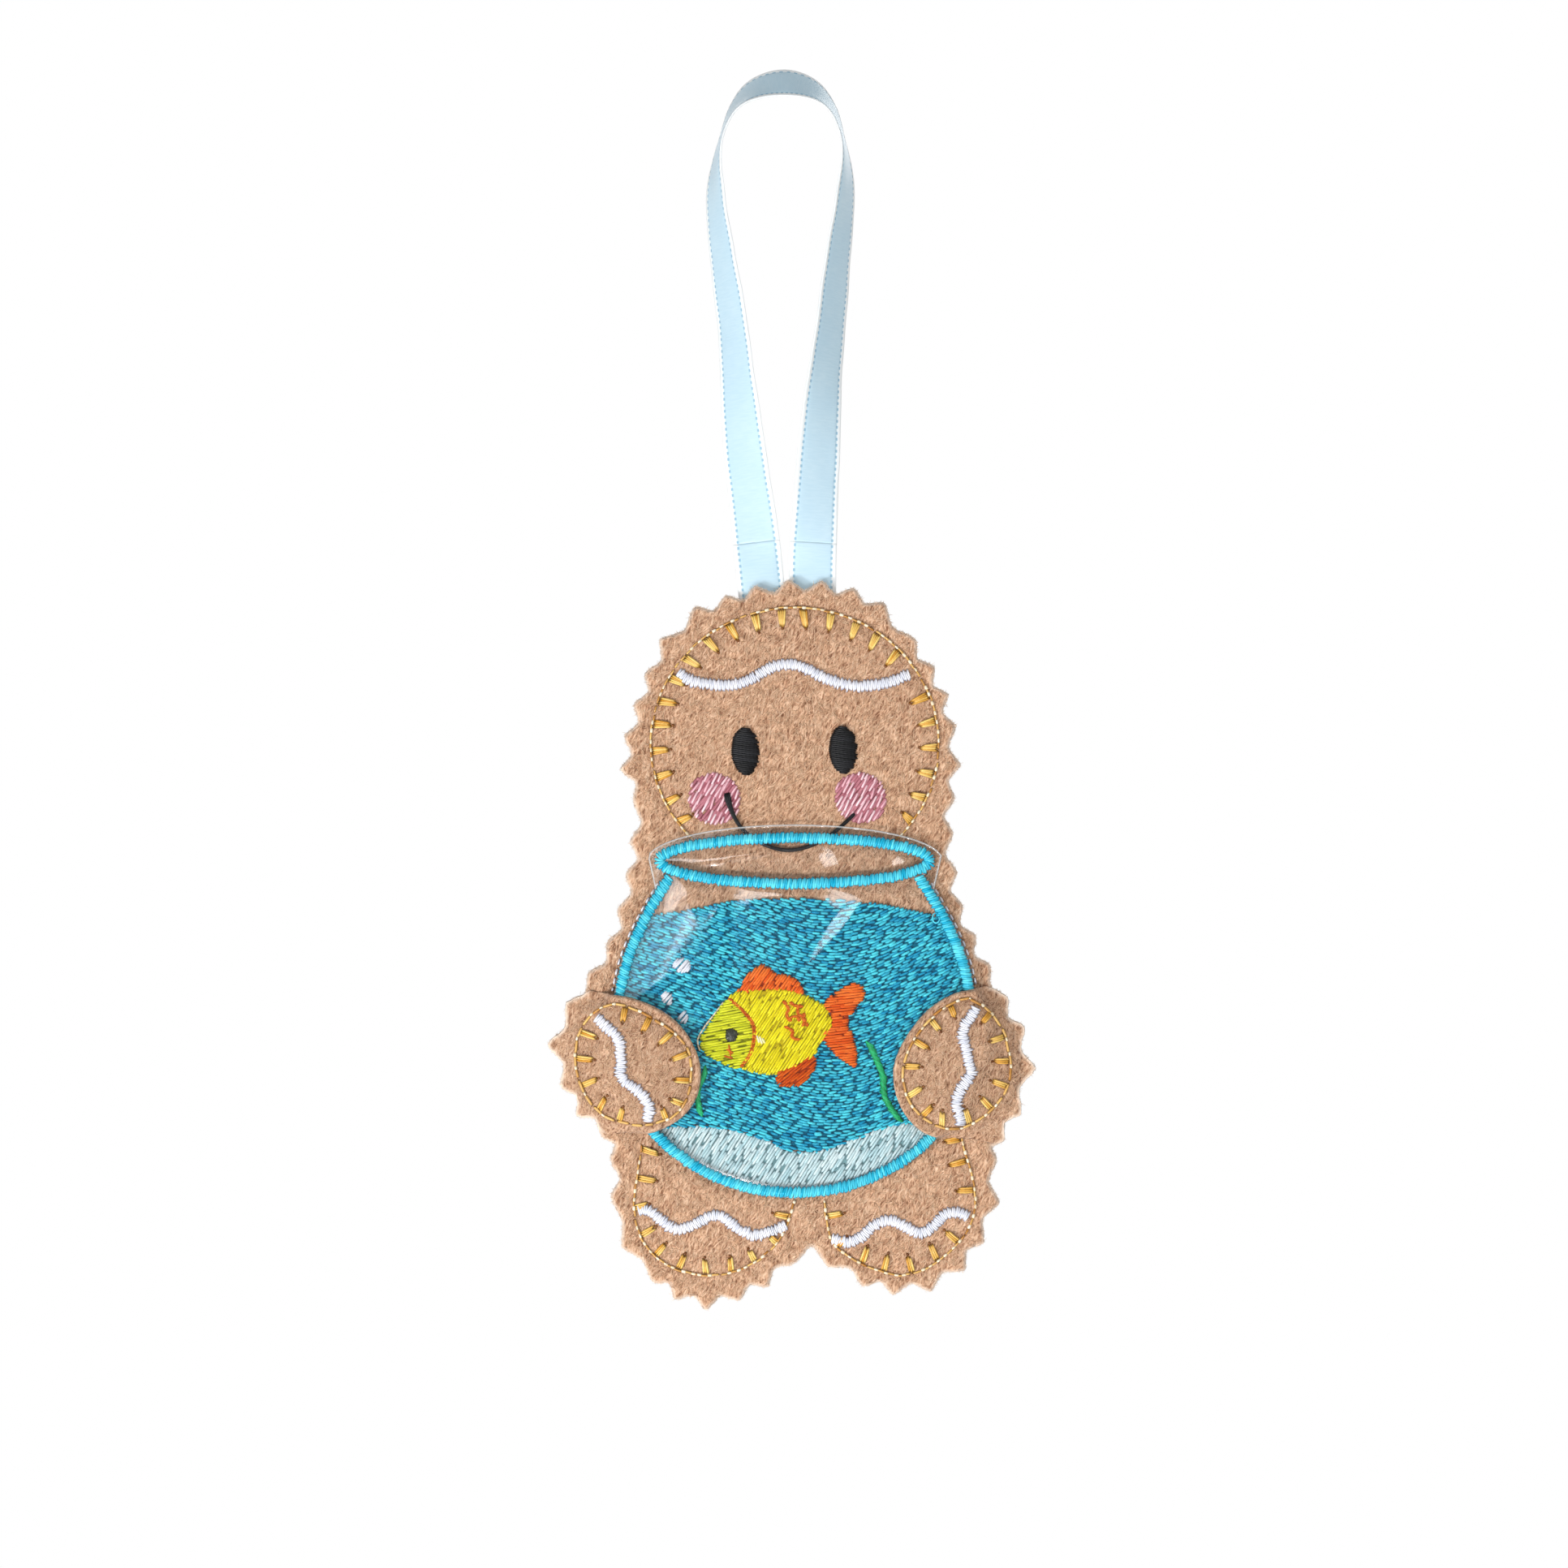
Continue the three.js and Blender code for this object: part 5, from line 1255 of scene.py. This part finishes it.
# %% The fish
FISH_Y = -2.36
MARK_Y = -2.6
GILL_Y = -2.52
HEAD_EDGE_Y = -2.2
GILL = [[-0.326, 0.22], [-0.231, 0.103], [-0.177, -0.003], [-0.177, -0.133], [-0.199, -0.24],
        [-0.256, -0.343]]
BACK = [[-0.27, 0.275], [-0.112, 0.293], [0.017, 0.287], [0.12, 0.26]]
TAIL_ROOT = [[0.246, 0.167], [0.291, 0.093], [0.291, -0.003], [0.236, -0.087]]
BELLY = [[0.185, -0.25], [0.07, -0.34], [-0.032, -0.397]]
FISH_PARTS = {
    "fish_body": ([GILL[0], *BACK, *TAIL_ROOT, *BELLY, [-0.112, -0.4], [-0.239, -0.36],
                   *GILL[:0:-1]], 57, YELLOW, "fish_thread"),
    "fish_head": ([*GILL, [-0.3, -0.343], [-0.396, -0.29], [-0.485, -0.213], [-0.5, -0.12],
                   [-0.45, 0], [-0.39, 0.12]], 10, LIME, "fish_head_thread"),
    "fish_dorsal_fin": ([*BACK, [0.095, 0.36], [0.017, 0.413], [-0.032, 0.413], [-0.112, 0.5],
                         [-0.206, 0.413]], 55, ORANGE, "fin_thread"),
    "fish_tail": ([*TAIL_ROOT, [0.276, -0.173], [0.371, -0.29], [0.445, -0.333], [0.45, -0.24],
                   [0.435, -0.107], [0.396, 0.02], [0.45, 0.147], [0.5, 0.24], [0.49, 0.307],
                   [0.428, 0.333]], 6, ORANGE, "fin_thread"),
    "fish_anal_fin": ([*BELLY, [-0.032, -0.48], [0.037, -0.5], [0.117, -0.48], [0.172, -0.397],
                       [0.205, -0.31]], 40, RUST, "fin_thread")}
SHADOWS = {
    "fish_thread": underlay_finish("yellow underlay", "#b8a208", "#d8c40e"),
    "fish_head_thread": underlay_finish("lime underlay", "#828408", "#9ea212"),
    "fin_thread": underlay_finish("orange underlay", "#9a3008", "#b84412")}

for name, (shares, degrees, finish, slot) in FISH_PARTS.items():
    outline = smooth(on(FISH, shares), 4, closed=True)
    underlay(f"{name}_underlay", outline, FISH_Y, SHADOWS[slot], slot)
    filled(f"{name}_stitches", grown(outline, 0.15), degrees, 0.37, 2.6, flat_at(FISH_Y), finish,
           slot, [name], lift=0.24, high=0.32, power=3, loose=0.3, stretch=1.45)


def line_of_stitches(name, line, pitch, y, finish, slot, width):
    """Short stitches one after another along a line."""
    length = distances(line)[-1]
    at = np.linspace(0, length, max(2, round(length / pitch) + 1))
    a, b = spots(line, at[:-1])[0], spots(line, at[1:])[0]
    sewn(name, a, b, flat_at(y), finish, slot, (), 0.14, width, 0.28)


gill = smooth(on(FISH, GILL))
for place, shift in (("back", -0.16), ("front", 0.14)):
    line_of_stitches(f"gill_line_{place}", gill + [shift, 0], 0.7, GILL_Y, RUSTY, "fin_thread",
                     0.3)
SCRIBBLES = [[[0, 0.2], [0.035, 0.13], [0.015, 0.08], [0.05, 0.03]],
             [[0.03, 0.05], [0.08, 0.08], [0.1, 0.03]],
             [[0.1, 0.17], [0.085, 0.1], [0.13, 0.05], [0.12, -0.01]],
             [[0.01, -0.01], [0.06, -0.05], [0.05, -0.1], [0.1, -0.12]],
             [[0.04, 0.19], [0.07, 0.16], [0.12, 0.15]],
             [[0.125, 0.1], [0.13, 0.04], [0.15, -0.01]]]
ends = [even(smooth(on(FISH, part)), 0.8) for part in SCRIBBLES]
a, b = np.vstack([e[:-1] for e in ends]), np.vstack([e[1:] for e in ends])
a, b = np.vstack([a, a + [0.2, 0.05]]), np.vstack([b, b + [0.16, 0.1]])
sewn("scale_mark_stitches", a, b, flat_at(MARK_Y), RUSTY, "fin_thread", ["fish_scale_mark"],
     0.16, high=0.28)

# The glint is the fish's yellow thread drawn pale, a painted highlight.
GLINT_YELLOW_PAINTED = strand_finish("yellow fish thread painted pale as a glint", "#c9c26a", "#f3efb4", "#fbf9d6")
for name, marks, width, finish, slot in (
        ("fish_mouth", [[[-0.345, -0.19], [-0.3, -0.23]], [[-0.33, -0.15], [-0.315, -0.26]],
                        [[-0.36, -0.25], [-0.3, -0.27]]], 0.3, RUSTY, "fin_thread"),
        ("fish_glint", [[[-0.158, -0.08], [-0.142, -0.145]], [[-0.142, -0.085], [-0.124, -0.155]],
                        [[-0.125, -0.1], [-0.108, -0.15]]], 0.34, GLINT_YELLOW_PAINTED, "fish_thread")):
    marks = on(FISH, marks)
    sewn(f"{name}_stitches", marks[:, 0], marks[:, 1], flat_at(MARK_Y), finish, slot, (), 0.14,
         width, 0.26)

turn = np.radians(np.arange(0, 180, 25.7) + 8)
reach = np.column_stack([np.cos(turn), 1.1 * np.sin(turn)]) * 1.02
middle = on(FISH, [-0.313, -0.083])
GREY = strand_finish("dark grey rayon thread", "#0c0d0a", "#1d1f1b", "#4b4e46")
sewn("fish_eye_satin", middle - reach, middle + reach, flat_at(MARK_Y), GREY, "black_thread",
     ["fish_eye"], 0.2, 0.5, 0.3)
edge = smooth(on(FISH, [[-0.36, 0.19], [-0.42, 0.085], [-0.48, -0.02], [-0.52, -0.125],
                        [-0.505, -0.21]]))
line_of_stitches("fish_head_edge", edge, 0.9, HEAD_EDGE_Y, CREAM, "white_thread", 0.26)

# %% Bubbles and seaweed
WEED_Y = -2.2
BUBBLES = {"bubble_top": box(*on(BOWL, [-0.311, 0.199]), 2.5, 2.1),
           "bubble_middle": box(*on(BOWL, [-0.354, 0.098]), 1.5, 2),
           "bubble_low": box(*on(BOWL, [-0.309, 0.04]), 1.4, 1.7)}
WEEDS = {"seaweed_left": [[-0.245, -0.12], [-0.268, -0.19], [-0.262, -0.26]],
         "seaweed_right": [[0.205, -0.04], [0.241, -0.133], [0.25, -0.206], [0.29, -0.28]]}

for name, bubble in BUBBLES.items():
    a, b = rows_in(ellipse(bubble, all_round, 0.15), 50, 0.34, 3, loose=0, stagger=0, least=0.3,
                   middle=bubble[0] - 1.1, stretch=1.2)
    a, b = a + rng.normal(0, 0.09, a.shape), b + rng.normal(0, 0.09, b.shape)
    sewn(f"{name}_satin", a, b, flat_at(WEED_Y), WHITE, "white_thread", [name], 0.3, 0.38, 0.3,
         power=2)
for name, shares in WEEDS.items():
    a, b = satin(smooth(on(BOWL, shares)), 0.85, 0.28, slant=1.6)
    sewn(f"{name}_satin", a, b, flat_at(WEED_Y), GREEN, "seaweed_thread", [name], 0.26, high=0.28)

# %% [markdown]
# ## The clear window
# A square of soft vinyl is sewn under the rim and the bowl's outline, and trimmed just outside
# them. It is held tight at its edge and is slack in between, so it lies in shallow waves. Where
# a slope mirrors the lamp by the camera, there is a streak of glare over the water.

# %% Vinyl


def clear_vinyl():
    """Soft clear vinyl sheet, polished. Each face mirrors four hundredths of the light from
    the front, and more at a slant, by the fifth power of one minus the cosine. The cut edge
    looks white."""
    m = blank("clear soft vinyl")
    mirror = add(m, "BsdfPrincipled", {
        "Base Color": "#ffffff", "Metallic": 1, "Roughness": 0.12})
    clear = add(m, "BsdfTransparent")
    slant = add(m, "LayerWeight", {"Blend": 0.5})
    steep = add(m, "Math", {0: slant.outputs["Facing"], 1: 5.0}, operation="POWER")
    share = add(m, "Math", {0: steep, 1: 0.95, 2: 0.042}, operation="MULTIPLY_ADD")
    mixed = add(m, "MixShader", {0: share, 1: clear, 2: mirror})
    frost = add(m, "BsdfPrincipled", {"Base Color": "#e3e7e8", "Roughness": 0.5})
    edge = add(m, "Attribute", attribute_name="edge").outputs["Fac"]
    cut = add(m, "MapRange", {
        "Value": edge, "From Min": 0.5, "From Max": 1, "To Min": 0, "To Max": 0.5})
    whole = add(m, "MixShader", {0: cut, 1: mixed, 2: frost})
    return shown(m, whole)


VINYL = clear_vinyl()
VINYL_FRONT = -2.86
VINYL_THICK = 0.1
WINDOW_REACH = 0.7
SLOPE = 0.16
LESS_SLOPE = 0.052
HELD_REACH = 1.6
SLACK_REACH = 4.6
MOST_RISE = 1.2
CARD_TILT = (-0.062, 0.03)
TILT_BY_X = 0.0014
GLARES = [  # where the sheet tilts: x, z, half length, half width, degrees
    [7.6, -126.6, 6, 1.3, 47], [-16.4, -121.3, 2.6, 1.7, 66], [-3.4, -121.2, 5.6, 1.2, 1],
    [8.6, -121.8, 4.4, 1.5, -6], [-9, -115.7, 7.4, 0.75, 8], [6.6, -115.9, 2.7, 1.4, -25],
    [17, -116.3, 1.8, 1, 0]]

rim_back = np.linspace(8, 172, 60)
window_outline = even(np.vstack([
    ellipse(RIM, rim_back, 1.9), grown(bowl_line, WINDOW_REACH)[6:-6]]), 1.0, closed=True)
held_line = even(bowl_line, 0.8)
held_outline = np.vstack([ellipse(RIM, rim_back), held_line[3:-3]])


def vinyl_rise(flat):
    """How high the sheet stands: it climbs at an even slope from the stitched line, then turns
    level, as t over the tenth root of one plus t to the tenth, where t is the distance as a share
    of its reach. On the left, above the hand, it is slack and climbs further."""
    d = np.minimum(apart(flat, held_line, closed=False), apart(flat, rim_line))
    d = d * (inside(flat, held_outline) | inside(flat, rim_line))
    slack = np.clip((-flat[:, 0] - 8) / 3, 0, 1) * np.clip((flat[:, 1] + 138) / 5, 0, 1)
    reach = HELD_REACH + SLACK_REACH * slack
    t = d / reach
    rise = (SLOPE - LESS_SLOPE * slack) * reach * t / (1 + t ** 10) ** 0.1
    return rise + 0.01 * noise(flat, 9, 32)


def vinyl_top(points):
    """The window's face. At each glare it is blended into a tilted plane over an oval, whose
    weight fades by the fourth power of the distance. A tilt to the side grows with x, because
    the camera is near."""
    flat = points.reshape(-1, 2)
    high = vinyl_rise(flat)
    for x, z, half_long, half_wide, degrees in GLARES:
        a = np.radians(degrees)
        away = flat - [x, z]
        p = (away @ [np.cos(a), np.sin(a)]) / half_long
        q = (away @ [-np.sin(a), np.cos(a)]) / half_wide
        weight = np.exp(-(p ** 2 + q ** 2) ** 2)
        slope = np.array(CARD_TILT) - [TILT_BY_X * x, 0]
        level = max(vinyl_rise(np.array([[x, z]]))[0], 0.06 * half_long)
        high = high * (1 - weight) + (level - away @ slope) * weight
    return (VINYL_FRONT - np.clip(high, 0, MOST_RISE)).reshape(points.shape[:-1])


window = sheet("vinyl_window_sheet", window_outline, vinyl_top,
               lambda p: vinyl_top(p) + VINYL_THICK, 0.42, VINYL, 0.12)
on_figure(window, "clear_vinyl", "vinyl_window")

# %% Rim and outline of the bowl
RIM_Y = -2.9
BOWL_EDGE = 1.6
BOWL_PITCH = 0.34
BOWL_RAGGED = 0.14


def edge_of_bowl(name, a, b):
    """A satin edge of the bowl from its strand ends, over the edge of the vinyl."""
    sewn(f"bowl_{name}_satin", a, b, flat_at(RIM_Y), TURQUOISE, "turquoise_thread",
         [f"bowl_{name}_stitch"], 0.5, 0.42, 0.36, power=2.2)


edge_of_bowl("rim", *satin(rim_line, BOWL_EDGE, BOWL_PITCH, 0.15, True, BOWL_RAGGED))
a, b = satin(bowl_line, BOWL_EDGE, BOWL_PITCH, 0.25, False, BOWL_RAGGED)
free = ~inside((a + b) / 2, ellipse(RIM, all_round, 0.9))
edge_of_bowl("outline", a[free], b[free])

# %% A stray loop of thread
STRAY_Y = -3.3
knot = box(22.6, -124.6, 1.1, 1.5)
loop_at = ellipse(knot, np.linspace(60, 390, 12))
path = np.insert(loop_at, 1, STRAY_Y, axis=1)[None]
on_figure(tubes("stray_thread_loop", path, 0.24, 0.24, TURQUOISE), "turquoise_thread")

# %% [markdown]
# ## The hands
# Each hand is a patch of felt laid over the side of the bowl and sewn on. It lies on the felt
# outside the bowl and climbs over the sewn edge, so it bulges, and its inner edge is trimmed
# close to the seam. Its outer edge is cut together with the figure's own.

# %% Hands
HAND_EDGES = {
    "left": [[-0.6, 0.66], [-0.36, 0.59], [-0.18, 0.56], [-0.02, 0.535], [0.215, 0.445],
        [0.38, 0.33], [0.485, 0.195], [0.555, 0.043], [0.572, -0.083], [0.545, -0.248],
        [0.451, -0.394], [0.299, -0.5], [0.12, -0.56], [-0.12, -0.56], [-0.4, -0.6]],
    "right": [[0.56, 0.6], [0.32, 0.585], [0.134, 0.555], [-0.022, 0.525], [-0.239, 0.42],
        [-0.4, 0.272], [-0.52, 0.11], [-0.575, -0.04], [-0.555, -0.218], [-0.458, -0.39],
        [-0.3, -0.51], [-0.1, -0.56], [0.12, -0.56], [0.42, -0.62]]}
FAR = {"left": [[-1.2, -0.6], [-1.2, 0.66]], "right": [[1.2, -0.62], [1.2, 0.6]]}
DRAPE_IN = 0.8
DRAPE_OUT = 4.2
DRAPE_TIGHTER = 1.6
HAND_LIFT = 1.4
HAND_THICK = 1.35
HAND_FULL = 0.35
SPREAD = 2


def eased(t):
    """A smooth step from 0 to 1: three times the square minus two times the cube."""
    return t * t * (3 - 2 * t)


def beside_bowl(flat):
    """How far points lie outside the bowl's outline, to the side."""
    return abs(flat[:, 0] - BOWL[0][0]) - bowl_reach(flat[:, 1])


def hand_outline(side):
    """The hand's trimmed edge inside the felt, then the pinked edge back to its start."""
    trimmed = smooth(on(HANDS[side], HAND_EDGES[side]))
    whole = np.vstack([trimmed, on(HANDS[side], FAR[side])])
    kept = even(trimmed[inside(trimmed, felt_outline)], 0.55)
    near = inside(felt_outline, whole)
    start = np.flatnonzero(near & ~np.roll(near, 1))[0]
    shared = np.roll(felt_outline, -start, axis=0)[:near.sum()]
    if np.linalg.norm(shared[0] - kept[-1]) > np.linalg.norm(shared[-1] - kept[-1]):
        shared = shared[::-1]
    return anticlockwise(np.vstack([kept[1:-1], shared[1:-1]]))


def outside_seam(side, flat):
    """How far points lie outside a hand's seam, and 0 inside it."""
    return apart(flat, hand_seams[side]) * ~inside(flat, hand_seams[side])


def hand_base(side):
    """How far in front the underside of a hand lies: on the felt outside the bowl, and over the
    bowl's edge inside, with a smooth step between. Outside the seam the cloth is held down, so
    the step is steeper there."""
    def base(points):
        flat = points.reshape(-1, 2)
        end = DRAPE_OUT - DRAPE_TIGHTER * np.clip(outside_seam(side, flat), 0, 1)
        t = np.clip((end - beside_bowl(flat)) / (end - DRAPE_IN), 0, 1)
        return (FELT_FRONT - 0.08 - HAND_LIFT * eased(t)).reshape(points.shape[:-1])
    return base


def hand_top(side):
    """A hand's face: the underside moved forward by its thickness, fuller in the middle, and
    pulled in along its seam. Outside the seam and beside the bowl the patch is pressed into
    the felt under it, and thins out over a few millimetres as a smooth step."""
    pins = even(hand_seams[side], PIN_STEP, closed=True)
    middle, size = HANDS[side]
    base = hand_base(side)

    def top(points):
        flat = points.reshape(-1, 2)
        r = np.linalg.norm((flat - middle) / (size / 2), axis=-1)
        full = HAND_FULL * np.clip(1 - r ** 2, 0, 1)
        beside = np.clip(beside_bowl(flat) / SPREAD, 0, 1)
        thin = eased(1 - np.clip(outside_seam(side, flat) * beside / SPREAD, 0, 1))
        high = (base(flat) - 0.1 - (HAND_THICK - 0.1) * thin - full
                + sewn_dent(flat, pins, 0.4, 0.8) * thin - 0.04 * noise(flat, 2.7, 21))
        return high.reshape(points.shape[:-1])
    return top


for side, sign in (("left", -1), ("right", 1)):
    top = hand_top(side)
    outline = hand_outline(side)
    hand = sheet(f"hand_{side}_sheet", outline, top, hand_base(side), 0.55, HAND_FELT_SHADED,
                 cut=felt_outline)
    on_figure(hand, "tan_felt", f"hand_{side}_felt")
    on_figure(hairs(f"hand_{side}_fibres", 1500, outline, top, FELT_HAIR), "tan_felt")
    seam(f"hand_{side}", hand_seams[side], sign, top, [f"hand_{side}_seam_thread"], pitch=2.1,
         bead=0.5, width=0.42, closed=True, uneven=0.22, shown_beads=0.5, strands=3, fan=0.31,
         pinch=0.25)
    icing(f"icing_{side}_hand", HANDS[side], HAND_ICING[side], top, ragged=0.22)

# %% [markdown]
# ## The backing
# Between the felts lies the sheet of paper-like backing that the embroidery was sewn on. It is
# trimmed inside the teeth, so it hardly shows, and keeps its solid with the finish of pressed
# fibres.

# %% Backing
backing = blank("pressed paper backing")
at = add(backing, "TexCoord").outputs["Object"]
pulp = add(backing, "TexNoise", {"Vector": at, "Scale": 700, "Detail": 4})
paper = add(backing, "Mix", {0: pulp, 6: "#e4e2da", 7: "#f6f5f1"}, data_type="RGBA")
relief = add(backing, "Bump", {"Height": pulp, "Strength": 0.3, "Distance": 0.0001})
shown(backing, add(backing, "BsdfPrincipled", {
    "Base Color": paper, "Roughness": 0.9, "Normal": relief}))
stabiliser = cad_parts["stabiliser_sheet"]
stabiliser.data.materials.clear()
stabiliser.data.materials.append(backing)
print("backing", [round(v, 3) for v in stabiliser.dimensions])
